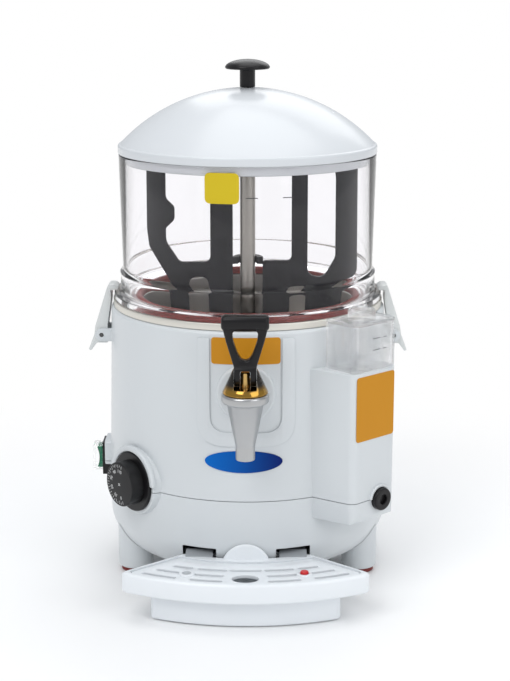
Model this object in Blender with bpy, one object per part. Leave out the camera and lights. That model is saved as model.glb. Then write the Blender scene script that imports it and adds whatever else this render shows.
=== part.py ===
import math

import bmesh
import bpy
from mathutils import Matrix, Vector

# Hot drink dispenser with a heated water bath, a clear bowl, a stirring frame and a tap.
# Sizes are in metres. The ground is z = 0, the bowl's axis is x = y = 0, the front is -y.

# Fits and facets
gap = 0.0003
overrun = 0.004
weld_distance = 0.00001
big_steps = 32
hidden_steps = 20
mid_steps = 16
lip_steps = 12
small_steps = 8
curve_steps = 4

# Casing: two shells that meet at the seam, with a water pod on the front right
casing_top = 0.2447
casing_top_radius = 0.125
casing_flare = 0.0036
casing_radius = casing_top_radius + casing_flare
casing_floor = 0.020
casing_wall = 0.003
casing_rim_round = 0.004
casing_base_round = 0.035
seam_height = 0.0953
pod_azimuth = 43
pod_depth = 0.0339
pod_reach = casing_radius + pod_depth
pod_half_width = 0.026
pod_root_half_width = 0.037
pod_corner_round = 0.009
pod_drop = 0.0347
pod_top = casing_top - pod_drop
pod_bottom = 0.076
pod_bottom_chamfer = 0.006

# Raised band and boss round the tap
band_rise = 0.0012
band_half_width = 0.042
band_bottom = 0.145
band_round = 0.022
panel_half_width = 0.031
panel_bottom = 0.157
panel_round = 0.015
band_top_margin = 0.006
boss_radius = 0.025
boss_rise = 0.003
boss_edge = 0.0025

# Legs and feet
foot_height = 0.004
foot_radius = 0.0135
leg_radius = 0.016
leg_inset = 0.0171
leg_circle = casing_radius - leg_inset
leg_azimuths = {"front_left": -68, "front_right": 68, "rear_left": -132, "rear_right": 132}
leg_chamfer = 0.002

# Vents in the floor
vent_count = 8
vent_circle = 0.060
vent_length = 0.034
vent_width = 0.005
vent_round = 0.0022

# Water bath
sheet = 0.0012
collar_inset = 0.002
collar_height = 0.006
tank_inset = 0.0208
tank_radius = casing_top_radius - tank_inset
tank_depth = 0.095
tank_corner = 0.010
mouth_clearance = 0.0015

# Stainless dish with its centre tube
dish_clearance = 0.0062
dish_radius = tank_radius - dish_clearance
dish_depth = 0.065
dish_corner = 0.014
dish_rim_width = 0.0105
tube_radius = 0.007
tube_bore_radius = 0.0055
tube_below_bowl = 0.0162
tube_drop = 0.034

# Bowl
bowl_height = 0.1312
bowl_inset = 0.009
bowl_radius = casing_top_radius - bowl_inset
bowl_draft = 0.0023
bowl_foot_radius = bowl_radius - bowl_draft
bowl_wall = 0.003
bowl_mouth_clearance = 0.0055
bowl_mouth_radius = dish_radius + bowl_mouth_clearance
bowl_flange_width = 0.006
bowl_flange_radius = bowl_radius + bowl_flange_width
bowl_flange_height = 0.0059
bowl_skirt_rise = 0.0025
bowl_skirt_radius = bowl_foot_radius + bowl_skirt_rise
bowl_skirt_height = 0.0215
bowl_bead = 0.0012
bowl_floor_height = 0.003

# Lid
lid_overhang = 0.0005
lid_rim_radius = bowl_radius + lid_overhang
lid_rim_height = 0.006
lid_rise = 0.0572
lid_wall = 0.0025
lid_skirt_depth = 0.0083
lid_skirt_clearance = 0.001
lid_skirt_wall = 0.002
lid_dome_points = 5

# Lid knob and its screw
knob_height = 0.0247
knob_disc_radius = 0.020
knob_disc_height = 0.0085
knob_neck_radius = 0.0069
knob_edge = 0.001
knob_screw_radius = 0.002
knob_screw_head_radius = 0.0045
knob_screw_head_height = 0.0025
knob_screw_depth = 0.010

# Drive
shaft_radius = 0.004
shaft_above_tube = 0.032
shaft_engagement = 0.010
bore_clearance = 0.0003
seal_head_height = 0.0022
seal_depth = 0.008
gearbox_radius = 0.030
gearbox_height = 0.030
motor_radius = 0.024
motor_height = 0.045
motor_edge = 0.002
bracket_drop = 0.0065
bracket_radius = 0.044
bracket_thickness = 0.002
bracket_post_radius = 0.004
bracket_post_count = 3
bracket_post_circle = 0.038

# Mixer
mixer_clearance = 0.012
mixer_reach = bowl_foot_radius - bowl_wall - mixer_clearance
mixer_top_above_bowl = 0.0065
mixer_floor_clearance = 0.0085
mixer_thickness = 0.004
mixer_hub_radius = 0.011
mixer_hub_height = 0.032
mixer_hub_lift = 0.0015
mixer_hub_chamfer = 0.002
mixer_ring_height = 0.008
mixer_ring_rise = 0.091
mixer_ring_clearance = 0.001
mixer_ring_wall = 0.0065
mixer_slot_half_width = 0.0135

# Heating element
heater_circle = 0.075
heater_tube_radius = 0.004
heater_height = 0.008
heater_bend = 0.012
heater_leg_drop = 0.010
heater_sweep = 300
heater_arc_points = 24
heater_bend_points = 3

# Outlet and tap
outlet_above_floor = 0.0105
outlet_radius = 0.0075
outlet_bore_radius = 0.0063
outlet_inset = 0.006
outlet_end = casing_top_radius - outlet_inset
tap_stand = 0.035
tap_reach = casing_top_radius + tap_stand
shank_radius = 0.010
shank_flange_radius = 0.0155
shank_flange_thickness = 0.0027
tap_gasket_thickness = 0.0015
tap_nut_radius = 0.0145
tap_nut_thickness = 0.006
tap_nut_sides = 6
collar_radius = 0.020
collar_above_outlet = 0.012
collar_band = 0.0075
small_edge = 0.001
taper_radius = 0.016
taper_length = 0.0395
spout_radius = 0.0082
spout_length = 0.0155
spout_bore_radius = 0.0062
chamber_radius = 0.011
seat_below_outlet = 0.0105

# Tap bonnet
bonnet_radius = 0.019
bonnet_edge = 0.0008
bonnet_cone_height = 0.0175
bonnet_tip_radius = 0.0092
bonnet_spigot_length = 0.0055
bonnet_spigot_clearance = 0.0003
bonnet_spigot_wall = 0.0022
bonnet_floor_height = 0.0028
bonnet_floor_thickness = 0.004

# Tap plunger, cup and spring
stem_radius = 0.004
stem_above_pin = 0.0077
pin_radius = 0.0015
pin_clearance = 0.0003
cup_radius = 0.0092
cup_height = 0.006
cup_lip = 0.0015
cup_seat_clearance = 0.0003
stem_tip_radius = 0.0025
stem_tip_length = 0.004
spring_radius = 0.0062
spring_wire = 0.0006
spring_turns = 5
spring_points_per_turn = 8

# Tap lever
neck_half_width = 0.00925
neck_side_clearance = 0.00035
cheek_radius = 0.0075
cheek_slot_clearance = 0.0004
crotch_above_pin = 0.0092
neck_half_depth = 0.007
lever_half_width = 0.0198
lever_height = 0.0572
lever_half_depth = 0.005
lever_bar_height = 0.013
lever_bar_half_depth = 0.0065
lever_bar_round = 0.0045
lever_shoulder_share = 0.93

# Latches
latch_half_width = 0.011
latch_pin_drop = 0.0287
latch_pin_height = casing_top - latch_pin_drop
latch_pin_stand = 0.0054
latch_pin_reach = casing_radius + latch_pin_stand
latch_pin_radius = 0.00175
latch_depth = 0.007
latch_outer_reach = latch_pin_reach + latch_depth
latch_foot_drop = 0.008
latch_tab_depth = 0.0055
latch_tab_reach = latch_outer_reach + latch_tab_depth
latch_tab_drop = 0.0154
latch_tab_thickness = 0.0022
latch_hook_overlap = 0.0035
latch_hook_reach = bowl_flange_radius - latch_hook_overlap
latch_hook_thickness = 0.0045
latch_clear = 0.003
latch_plate = 0.0035
ear_thickness = 0.003
ear_radius = 0.006

# Thermostat
dial_azimuth = -50
dial_height = 0.099
dial_pad_radius = 0.030
dial_pad_stand = 0.0026
dial_pad_reach = casing_radius + dial_pad_stand
dial_pad_root_radius = 0.036
dial_lip_width = 0.0052
dial_lip_rise = 0.003
bezel_radius = 0.027
bezel_thickness = 0.0028
bezel_bore_radius = 0.0085
dial_radius = 0.020
dial_edge = 0.0012
dial_length = 0.0125
dial_shaft_radius = 0.003
dial_shaft_engagement = 0.009
thermostat_half_size = 0.015
thermostat_round = 0.003
thermostat_depth = 0.018

# Power switch
switch_height = 0.0965
switch_pad_half_width = 0.0145
switch_pad_half_height = 0.018
switch_pad_stand = 0.0049
switch_pad_reach = casing_radius + switch_pad_stand
switch_pad_round = 0.003
switch_frame_half_width = 0.012
switch_frame_half_height = 0.0155
switch_frame_thickness = 0.0022
switch_frame_border = 0.0028
switch_body_depth = 0.016
switch_body_inset = 0.0015
rocker_clearance = 0.0006
rocker_thickness = 0.0045
rocker_bow = 0.0016
rocker_dip = 0.0021
rocker_depth = 0.005
cover_wall = 0.0008
cover_depth = 0.009
cover_round = 0.003

# Drain plug
drain_offset = 0.007
drain_height = 0.094
drain_flange_radius = 0.010
drain_flange_thickness = 0.005
drain_barrel_radius = 0.006
drain_barrel_length = 0.022
drain_recess_radius = 0.0045
drain_recess_depth = 0.003
drain_hole_clearance = 0.0005
drain_lip_width = 0.0025
drain_lip_rise = 0.002
socket_wall = 0.002
socket_length = 0.020

# Water reservoir
reservoir_wall = 0.002
reservoir_height = 0.040
reservoir_corner = 0.006
reservoir_back_clearance = 0.001
reservoir_spigot_radius = 0.006
reservoir_spigot_bore = 0.0035
reservoir_spigot_drop = 0.008
cap_thickness = 0.0027
cap_dome_radius = 0.012
cap_dome_height = 0.009
cap_dome_round = 0.003

# Drip tray
tray_depth = 0.0634
tray_front = casing_radius + tray_depth
tray_corner_x = 0.109
tray_corner_depth = 0.0344
tray_corner_y = casing_radius + tray_corner_depth
tray_rear_x = 0.055
tray_corner_round = 0.007
tray_casing_clearance = 0.0006
tray_rim_top = 0.044
tray_rim_height = 0.018
tray_rim_wall = 0.004
tray_ledge_width = 0.003
tray_deck_width = 0.009
tray_rim_floor = 0.003
tray_base_bottom = 0.001
tray_base_wall = 0.003
tray_base_inset = 0.0135
tray_base_rear_inset = 0.002
tray_floor = 0.0025
tongue_half_width = 0.012
tongue_x = 0.041
tongue_thickness = 0.0035
tongue_rise = 0.0028
tongue_inside = 0.009
window_half_width = 0.015
window_top_clearance = 0.004
window_bottom_clearance = 0.0015
tab_radius = 0.0216
tab_top = 0.057
tab_thickness = 0.003

# Drip grid
grid_thickness = 0.003
grid_side_clearance = 0.0008
grid_slot_width = 0.004
grid_hole_radius = 0.011
grid_hole_depth = 0.0454
grid_hole_y = casing_radius + grid_hole_depth
grid_boss_radius = 0.0068
grid_boss_height = 0.0012
float_x = 0.050
float_depth = 0.0354
float_y = casing_radius + float_depth
float_pin_radius = 0.0035
float_hole_clearance = 0.0006
float_disc_radius = 0.009
float_disc_height = 0.005
float_pin_above_grid = 0.002
grid_arc_inset_shares = (0.0524, 0.1071, 0.1642)
grid_slot_span_shares = (
    ((0.096, 0.206), (0.275, 0.395)),
    ((0.092, 0.204), (0.257, 0.340)),
    ((0.081, 0.179), (0.214, 0.276)),
)
grid_centre_span_share = 0.055

# Cable gland
gland_height = 0.060
gland_radius = 0.0085
gland_length = 0.010
gland_flange_radius = 0.011
gland_flange_thickness = 0.003
gland_bore_radius = 0.004
gland_tip_radius = 0.006
gland_tail_length = 0.010

# Values worked out from the sizes above
tank_plate_top = casing_top + gap + sheet
tank_rim_top = casing_top + gap + collar_height
tank_floor_top = casing_top + gap + sheet - tank_depth
collar_outer_radius = casing_top_radius - collar_inset
mouth_radius = tank_radius + mouth_clearance
dish_rim_bottom = tank_plate_top + gap
dish_rim_top = dish_rim_bottom + sheet
dish_floor_bottom = dish_rim_bottom - dish_depth
outlet_height = dish_floor_bottom + outlet_above_floor
tube_rise = bowl_height - tube_below_bowl
tube_top = dish_rim_top + tube_rise
tube_bottom = dish_floor_bottom - tube_drop
bowl_bottom = tank_rim_top + gap
bowl_top = bowl_bottom + bowl_height
lid_bottom = bowl_top + gap
lid_apex = lid_bottom + lid_rise
shaft_top = tube_top + shaft_above_tube
bracket_top = tank_floor_top - sheet - bracket_drop
gearbox_top = bracket_top - bracket_thickness - gap
shaft_bottom = gearbox_top - shaft_engagement
mixer_top = bowl_top - mixer_top_above_bowl
mixer_height = mixer_top - dish_floor_bottom - mixer_floor_clearance
mixer_bottom = mixer_top - mixer_height
seal_top = tube_top + gap + seal_head_height
collar_top = outlet_height + collar_above_outlet
seat_height = outlet_height - seat_below_outlet
bonnet_bottom = collar_top + gap
pocket_floor = bonnet_bottom + bonnet_floor_height
pin_height = pocket_floor + gap + cheek_radius
cup_bottom = seat_height + cup_seat_clearance
tray_rear_radius = casing_radius + tray_casing_clearance
leg_bottom = foot_height + gap
drain_barrel_hole = drain_barrel_radius + drain_hole_clearance
rear_reach = casing_radius + gap + gland_flange_thickness + gland_length
machine_y = (tray_front - rear_reach) / 2

# Colours: red, green, blue, roughness, metallic
white_plastic = ("white_plastic", (0.86, 0.88, 0.90), 0.32, 0.0)
black_plastic = ("black_plastic", (0.012, 0.012, 0.013), 0.35, 0.0)
clear_plastic = ("clear_plastic", (0.86, 0.88, 0.95), 0.05, 0.0)
stainless = ("stainless_steel", (0.62, 0.60, 0.57), 0.28, 1.0)
chrome = ("chromed_brass", (0.80, 0.79, 0.77), 0.12, 1.0)
brass = ("brass", (0.75, 0.53, 0.24), 0.25, 1.0)
red_silicone = ("red_silicone", (0.32, 0.04, 0.03), 0.55, 0.0)
red_plastic = ("red_plastic", (0.75, 0.03, 0.03), 0.35, 0.0)
green_plastic = ("green_plastic", (0.02, 0.42, 0.20), 0.30, 0.0)
dark_metal = ("dark_metal", (0.12, 0.12, 0.13), 0.45, 1.0)

upright = Matrix.Rotation(math.radians(90), 4, "X")
sideways = Matrix(((0, 0, 1, 0), (1, 0, 0, 0), (0, 1, 0, 0), (0, 0, 0, 1)))


def clear_scene():
    for thing in list(bpy.data.objects):
        bpy.data.objects.remove(thing, do_unlink=True)


def material_for(finish):
    name, colour, roughness, metallic = finish
    material = bpy.data.materials.get(name)
    if material is None:
        material = bpy.data.materials.new(name)
        material.use_nodes = True
        shader = material.node_tree.nodes["Principled BSDF"]
        shader.inputs["Base Color"].default_value = (*colour, 1)
        shader.inputs["Roughness"].default_value = roughness
        shader.inputs["Metallic"].default_value = metallic
        material.diffuse_color = (*colour, 1)
    return material


def empty(name, location=(0, 0, 0), parent=None):
    holder = bpy.data.objects.new(name, None)
    holder.location = location
    holder.parent = parent
    bpy.context.collection.objects.link(holder)
    return holder


def add_piece(name, bm, finish, parent):
    # A closed mesh becomes an object with outward faces and smooth shading up to a crease.
    bmesh.ops.recalc_face_normals(bm, faces=bm.faces)
    mesh = bpy.data.meshes.new(name)
    bm.to_mesh(mesh)
    bm.free()
    mesh.materials.append(material_for(finish))
    mesh.shade_smooth()
    mesh.set_sharp_from_angle(angle=math.radians(35))
    piece = bpy.data.objects.new(name, mesh)
    piece.parent = parent
    bpy.context.collection.objects.link(piece)
    return piece


def turned(name, profile, finish, parent, steps=big_steps):
    # A profile of (radius, height) points is spun about +Z; it closes on itself or on the axis.
    bm = bmesh.new()
    points = [bm.verts.new((radius, 0, height)) for radius, height in profile]
    edges = [bm.edges.new(pair) for pair in zip(points, points[1:])]
    if profile[0][0] > 0 or profile[-1][0] > 0:
        edges.append(bm.edges.new((points[-1], points[0])))
    bmesh.ops.spin(bm, geom=points + edges, cent=(0, 0, 0), axis=(0, 0, 1),
                   angle=math.tau, steps=steps, use_merge=True)
    bmesh.ops.remove_doubles(bm, verts=bm.verts, dist=gap / 100)
    return add_piece(name, bm, finish, parent)


def slab(name, outline, low, high, finish, parent, holes=(), turn=None):
    # An outline with holes is filled, given a thickness from low to high, then turned upright.
    bm = bmesh.new()
    edges = []
    for loop in (outline, *holes):
        points = [bm.verts.new((across, along, low)) for across, along in loop]
        edges += [bm.edges.new(pair) for pair in zip(points, points[1:] + points[:1])]
    bmesh.ops.triangle_fill(bm, edges=edges, use_beauty=True)
    faces = bmesh.ops.extrude_face_region(bm, geom=list(bm.faces))["geom"]
    moved = [item for item in faces if isinstance(item, bmesh.types.BMVert)]
    bmesh.ops.translate(bm, verts=moved, vec=(0, 0, high - low))
    if turn is not None:
        bmesh.ops.transform(bm, matrix=turn, verts=bm.verts)
    return add_piece(name, bm, finish, parent)


def box(name, low, high, finish, parent):
    outline = [(low[0], low[1]), (high[0], low[1]), (high[0], high[1]), (low[0], high[1])]
    return slab(name, outline, low[2], high[2], finish, parent)


def combine(target, tool, operation):
    # The tool joins, cuts or trims the target, and stays in the file as a hidden guide.
    modifier = target.modifiers.new(operation.title(), "BOOLEAN")
    modifier.operation = operation
    modifier.solver = "EXACT"
    modifier.object = tool
    weld = target.modifiers.new("Weld", "WELD")
    weld.merge_threshold = weld_distance
    tool.hide_render = True
    tool.display_type = "WIRE"
    return target


def cut(target, *tools):
    for tool in tools:
        combine(target, tool, "DIFFERENCE")
    return target


def join(target, *tools):
    for tool in tools:
        combine(target, tool, "UNION")
    return target


def trim(target, tool):
    return combine(target, tool, "INTERSECT")


def pivot_at(piece, pivot):
    # The origin moves to the pivot while the shape stays where it is.
    piece.data.transform(Matrix.Translation(-Vector(pivot)))
    piece.location = pivot
    return piece


def facing_out(piece, reach, height, azimuth, offset=0.0):
    # The piece's own +Z points out of the casing at the azimuth, seen from the bowl's axis.
    turn = math.radians(azimuth)
    piece.location = (reach * math.sin(turn) + offset * math.cos(turn),
                      -reach * math.cos(turn) + offset * math.sin(turn), height)
    piece.rotation_euler = (math.radians(90), 0, turn)
    return piece


def at_azimuth(piece, azimuth):
    piece.rotation_euler = (0, 0, math.radians(azimuth))
    return piece


def arc(centre, radius, start, end, steps):
    points = []
    for step in range(steps + 1):
        angle = math.radians(start + (end - start) * step / steps)
        points.append((centre[0] + radius * math.cos(angle), centre[1] + radius * math.sin(angle)))
    return points


def rounded(corners, steps=4):
    # Each corner is (x, y, radius); a curve that touches both sides takes its place.
    points = []
    count = len(corners)
    for index, (x, y, radius) in enumerate(corners):
        here = Vector((x, y))
        before = Vector(corners[index - 1][:2])
        after = Vector(corners[(index + 1) % count][:2])
        if radius == 0:
            points.append((x, y))
            continue
        back = (before - here).normalized()
        ahead = (after - here).normalized()
        reach = radius / math.tan(back.angle(ahead) / 2)
        start = here + back * reach
        end = here + ahead * reach
        for step in range(steps + 1):
            share = step / steps
            spot = start * (1 - share) ** 2 + here * 2 * share * (1 - share) + end * share ** 2
            points.append((spot.x, spot.y))
    return points


def block(half_width, low, high, radius):
    # A rounded rectangle about the middle line, from low to high.
    return rounded([(-half_width, low, radius), (half_width, low, radius),
                    (half_width, high, radius), (-half_width, high, radius)])


def casing_radius_at(height):
    # The outer wall tapers from the seam up to the rim.
    share = max(0.0, (height - seam_height) / (casing_top - seam_height))
    return casing_radius + (casing_top_radius - casing_radius) * share


def casing_round(name, inset, parent):
    # The round part of the casing as one solid, drawn in by the inset.
    top = casing_top - inset
    floor = casing_floor + inset
    base_round = casing_base_round - inset
    rim_round = max(casing_rim_round - inset, gap)
    rim_centre = (casing_top_radius - inset - rim_round, top - rim_round)
    base_centre = (casing_radius - inset - base_round, floor + base_round)
    profile = [(0, top), *reversed(arc(rim_centre, rim_round, 0, 90, 3)),
               (casing_radius - inset, seam_height),
               *reversed(arc(base_centre, base_round, -90, 0, 5)), (0, floor)]
    return turned(name, profile, white_plastic, parent)


def pod_outline(inset):
    flare = (pod_root_half_width - pod_half_width) / (pod_reach - casing_radius)
    root_y = casing_radius - 4 * casing_wall
    root_half = pod_half_width + flare * (pod_reach - root_y) - inset
    edge = pod_half_width - inset
    front = -pod_reach + inset
    corner_round = pod_corner_round - inset
    return rounded([(-root_half, -root_y, 0), (-edge, front, corner_round),
                    (edge, front, corner_round), (root_half, -root_y, 0)])


def pod_solid(name, inset, parent):
    # The pod stands out of the round casing; its underside slopes back to the wall.
    pod = slab(name, pod_outline(inset), pod_bottom + inset, pod_top - inset, white_plastic, parent)
    slope = [(-pod_reach - overrun, pod_bottom - overrun),
             (-pod_reach - overrun, pod_bottom + inset + pod_bottom_chamfer + overrun),
             (-pod_reach + inset, pod_bottom + inset + pod_bottom_chamfer),
             (-pod_reach + inset + pod_bottom_chamfer, pod_bottom + inset),
             (-pod_reach + inset + pod_bottom_chamfer + overrun, pod_bottom - overrun)]
    wedge = slab(name + "_slope", slope, -pod_root_half_width * 2, pod_root_half_width * 2,
                 white_plastic, parent, turn=sideways)
    cut(pod, wedge)
    at_azimuth(pod, pod_azimuth)
    at_azimuth(wedge, pod_azimuth)
    return pod


def casing_shell(name, parent):
    # One shell with everything moulded on it; the seam parts it into upper and lower casing.
    shell = casing_round(name, 0, parent)
    join(shell, pod_solid(name + "_pod", 0, parent))

    band = casing_round(name + "_band", -band_rise, parent)
    band_top = casing_top - band_top_margin
    outer = rounded([(-band_half_width, band_top, 0), (-band_half_width, band_bottom, band_round),
                     (band_half_width, band_bottom, band_round), (band_half_width, band_top, 0)], 5)
    inner = rounded([(-panel_half_width, band_top, 0), (-panel_half_width, panel_bottom, panel_round),
                     (panel_half_width, panel_bottom, panel_round), (panel_half_width, band_top, 0)], 5)
    near = casing_top_radius - 2 * casing_wall
    far = casing_radius + overrun
    ridge = slab(name + "_ridge", outer, near, far, white_plastic, parent, turn=upright)
    panel = slab(name + "_panel", inner, near - overrun, far + overrun, white_plastic, parent, turn=upright)
    trim(band, cut(ridge, panel))
    join(shell, band)

    boss_length = boss_rise + 2 * casing_wall
    boss_profile = [(0, 0), (boss_radius, 0), (boss_radius, boss_length - boss_edge),
                    *arc((boss_radius - boss_edge, boss_length - boss_edge), boss_edge, 22, 90, 3),
                    (0, boss_length)]
    boss = turned(name + "_tap_boss", boss_profile, white_plastic, parent, mid_steps)
    facing_out(boss, casing_radius_at(outlet_height) + boss_rise - boss_length, outlet_height, 0)
    join(shell, boss)

    pad_root = casing_radius - 4 * casing_wall
    dial_profile = [(0, 0), (dial_pad_root_radius, 0), (dial_pad_radius, dial_pad_reach - pad_root),
                    (0, dial_pad_reach - pad_root)]
    dial_pad = turned(name + "_dial_pad", dial_profile, white_plastic, parent, mid_steps)
    facing_out(dial_pad, pad_root, dial_height, dial_azimuth)
    join(shell, dial_pad)

    switch_outline = block(switch_pad_half_width, -switch_pad_half_height, switch_pad_half_height,
                           switch_pad_round)
    switch_pad = slab(name + "_switch_pad", switch_outline, 0, switch_pad_reach - pad_root,
                      white_plastic, parent)
    facing_out(switch_pad, pad_root, switch_height, -90)
    join(shell, switch_pad)

    hollow = casing_round(name + "_hollow", casing_wall, parent)
    join(hollow, pod_solid(name + "_pod_hollow", casing_wall, parent))
    cut(shell, hollow)

    dial_hole = turned(name + "_dial_hole", rod(bezel_bore_radius, 0, 3 * casing_wall + overrun * 2),
                       white_plastic, parent, small_steps)
    facing_out(dial_hole, dial_pad_reach - 3 * casing_wall - overrun, dial_height, dial_azimuth)
    switch_hole_outline = block(switch_frame_half_width - switch_frame_border + gap,
                                -switch_frame_half_height + switch_frame_border - gap,
                                switch_frame_half_height - switch_frame_border + gap, 0)
    switch_hole = slab(name + "_switch_hole", switch_hole_outline, 0, 5 * casing_wall + overrun,
                       white_plastic, parent)
    facing_out(switch_hole, switch_pad_reach - 5 * casing_wall, switch_height, -90)
    drain_hole = turned(name + "_drain_hole", rod(drain_barrel_hole, 0, casing_wall + 2 * overrun),
                        white_plastic, parent, mid_steps)
    facing_out(drain_hole, pod_reach - casing_wall - overrun, drain_height, pod_azimuth, drain_offset)
    cut(shell, dial_hole, switch_hole, drain_hole)
    return shell


def rod(radius, low, high):
    # The profile of a plain cylinder.
    return [(0, low), (radius, low), (radius, high), (0, high)]


def half_lip(name, inner, outer, thickness, parent, steps):
    # Half a ring, over the top of a round opening.
    outline = arc((0, 0), outer, 4, 176, steps) + list(reversed(arc((0, 0), inner, 4, 176, steps)))
    return slab(name, outline, 0, thickness, white_plastic, parent)


def boss_length_through():
    return 3 * casing_wall + boss_rise + 2 * overrun


def upper_casing(parent):
    casing = casing_shell("upper_casing", parent)
    far = pod_reach + overrun
    below = box("upper_casing_below", (-far, -far, -overrun), (far, far, seam_height),
                white_plastic, parent)
    cut(casing, below)

    mouth = turned("upper_casing_mouth", rod(mouth_radius, casing_top - 2 * casing_wall,
                                             casing_top + overrun), white_plastic, parent)
    shank_hole = turned("upper_casing_shank_hole", rod(shank_radius + gap, 0, boss_length_through()),
                        white_plastic, parent, mid_steps)
    facing_out(shank_hole, casing_top_radius - 3 * casing_wall, outlet_height, 0)
    spigot_hole = turned("upper_casing_spigot_hole",
                         rod(reservoir_spigot_radius + gap, pod_top - 2 * casing_wall, pod_top + overrun),
                         white_plastic, parent, small_steps)
    spigot_hole.location = reservoir_middle()
    cut(casing, mouth, shank_hole, spigot_hole)

    for side, name in ((-1, "left"), (1, "right")):
        for end in (-1, 1):
            root = casing_radius_at(latch_pin_height) - casing_wall
            outline = [(side * root, latch_pin_height - ear_radius)]
            outline += [(side * x, z) for x, z in
                        arc((latch_pin_reach, latch_pin_height), ear_radius, -90, 90, 6)]
            outline += [(side * root, latch_pin_height + ear_radius)]
            near = latch_half_width + gap
            low = near if end > 0 else -near - ear_thickness
            ear = slab(f"upper_casing_{name}_ear_{end + 1}", outline, low, low + ear_thickness,
                       white_plastic, parent, turn=upright)
            join(casing, ear)
        hole = turned(f"upper_casing_{name}_pin_hole",
                      rod(latch_pin_radius + gap, -2 * latch_half_width, 2 * latch_half_width),
                      white_plastic, parent, small_steps)
        hole.location = (side * latch_pin_reach, 0, latch_pin_height)
        hole.rotation_euler = (math.radians(90), 0, 0)
        cut(casing, hole)

    dial_lip = half_lip("upper_casing_dial_lip", bezel_radius + gap, bezel_radius + gap + dial_lip_width,
                        dial_lip_rise + casing_wall / 2, parent, lip_steps)
    facing_out(dial_lip, dial_pad_reach - casing_wall / 2, dial_height, dial_azimuth)
    drain_lip = half_lip("upper_casing_drain_lip", drain_flange_radius + gap,
                         drain_flange_radius + gap + drain_lip_width,
                         drain_lip_rise + casing_wall / 2, parent, small_steps)
    facing_out(drain_lip, pod_reach - casing_wall / 2, drain_height, pod_azimuth, drain_offset)
    under_seam = box("upper_casing_under_seam", (-far, -far, -overrun), (far, far, seam_height),
                     white_plastic, parent)
    join(casing, dial_lip, drain_lip)
    cut(casing, under_seam)
    return casing


def lower_casing(parent):
    casing = casing_shell("lower_casing", parent)
    far = pod_reach + overrun
    above = box("lower_casing_above", (-far, -far, seam_height - gap), (far, far, casing_top + overrun),
                white_plastic, parent)
    cut(casing, above)

    tongue_low = tray_rim_top + tongue_rise - tongue_thickness
    window_low = min(tray_rim_top - tongue_thickness, tongue_low) - window_bottom_clearance
    window_high = tray_rim_top + tongue_rise + window_top_clearance
    for side, name in ((-1, "left"), (1, "right")):
        window = box(f"lower_casing_{name}_window",
                     (side * tongue_x - window_half_width, -casing_radius - overrun, window_low),
                     (side * tongue_x + window_half_width, -casing_radius / 2, window_high),
                     white_plastic, parent)
        cut(casing, window)
    for number in range(vent_count):
        outline = block(vent_width / 2, vent_circle - vent_length / 2, vent_circle + vent_length / 2,
                        vent_round)
        vent = slab(f"lower_casing_vent_{number}", outline, casing_floor - overrun,
                    casing_floor + casing_wall + overrun, white_plastic, parent)
        cut(casing, at_azimuth(vent, (number + 0.5) * 360 / vent_count))
    gland_hole = turned("lower_casing_gland_hole", rod(gland_radius + gap, 0, 2 * casing_wall + 2 * overrun),
                        white_plastic, parent, small_steps)
    facing_out(gland_hole, casing_radius - 2 * casing_wall - overrun, gland_height, 180)
    cut(casing, gland_hole)
    return casing


def legs_and_feet(parent):
    for place, azimuth in leg_azimuths.items():
        turn = math.radians(azimuth)
        spot = (leg_circle * math.sin(turn), -leg_circle * math.cos(turn), 0)
        top = casing_floor + casing_base_round
        profile = [(0, leg_bottom), (leg_radius - leg_chamfer, leg_bottom),
                   (leg_radius, leg_bottom + leg_chamfer), (leg_radius, top), (0, top)]
        leg = turned(f"{place}_leg", profile, white_plastic, parent, mid_steps)
        leg.location = spot
        envelope = casing_round(f"{place}_leg_seat", -gap, parent)
        wall = turned(f"{place}_leg_side", rod(casing_radius, 0, casing_top), white_plastic, parent)
        cut(leg, envelope)
        trim(leg, wall)
        foot_profile = [(0, 0), (foot_radius - foot_height / 4, 0), (foot_radius, foot_height / 4),
                        (foot_radius, foot_height), (0, foot_height)]
        foot = turned(f"{place}_foot", foot_profile, red_silicone, parent, mid_steps)
        foot.location = spot


def bath_tank(parent):
    bottom = casing_top + gap
    inner = tank_radius - sheet
    corner_outer = arc((tank_radius - tank_corner, tank_floor_top - sheet + tank_corner), tank_corner,
                       0, -90, 3)
    corner_inner = arc((tank_radius - tank_corner, tank_floor_top - sheet + tank_corner),
                       tank_corner - sheet, -90, 0, 3)
    tube_hole = tube_radius + gap
    profile = [(collar_outer_radius, bottom), (collar_outer_radius, tank_rim_top),
               (collar_outer_radius - sheet, tank_rim_top), (collar_outer_radius - sheet, tank_plate_top),
               (inner, tank_plate_top), *reversed(corner_inner), (tube_hole, tank_floor_top),
               (tube_hole, tank_floor_top - sheet), *reversed(corner_outer), (tank_radius, bottom)]
    tank = turned("bath_tank", profile, stainless, parent, hidden_steps)
    outlet_hole = turned("bath_tank_outlet_hole", rod(outlet_radius + gap, 0, 2 * overrun),
                         stainless, parent, small_steps)
    facing_out(outlet_hole, tank_radius - overrun, outlet_height, 0)
    cut(tank, outlet_hole)
    for number, spot in enumerate(heater_feet()):
        hole = turned(f"bath_tank_heater_hole_{number}",
                      rod(heater_tube_radius + gap, tank_floor_top - sheet - overrun,
                          tank_floor_top + overrun), stainless, parent, small_steps)
        hole.location = (spot.x, spot.y, 0)
        cut(tank, hole)
    return tank


def heater_ends():
    # The gap in the ring faces the rear; each end has its angle and its way round.
    half = math.radians(heater_sweep / 2)
    return ((-math.pi / 2 - half, -1), (-math.pi / 2 + half, 1))


def heater_feet():
    feet = []
    for angle, way in heater_ends():
        along = Vector((-math.sin(angle), math.cos(angle), 0)) * way
        feet.append(Vector((math.cos(angle), math.sin(angle), 0)) * heater_circle + along * heater_bend)
    return feet


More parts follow.
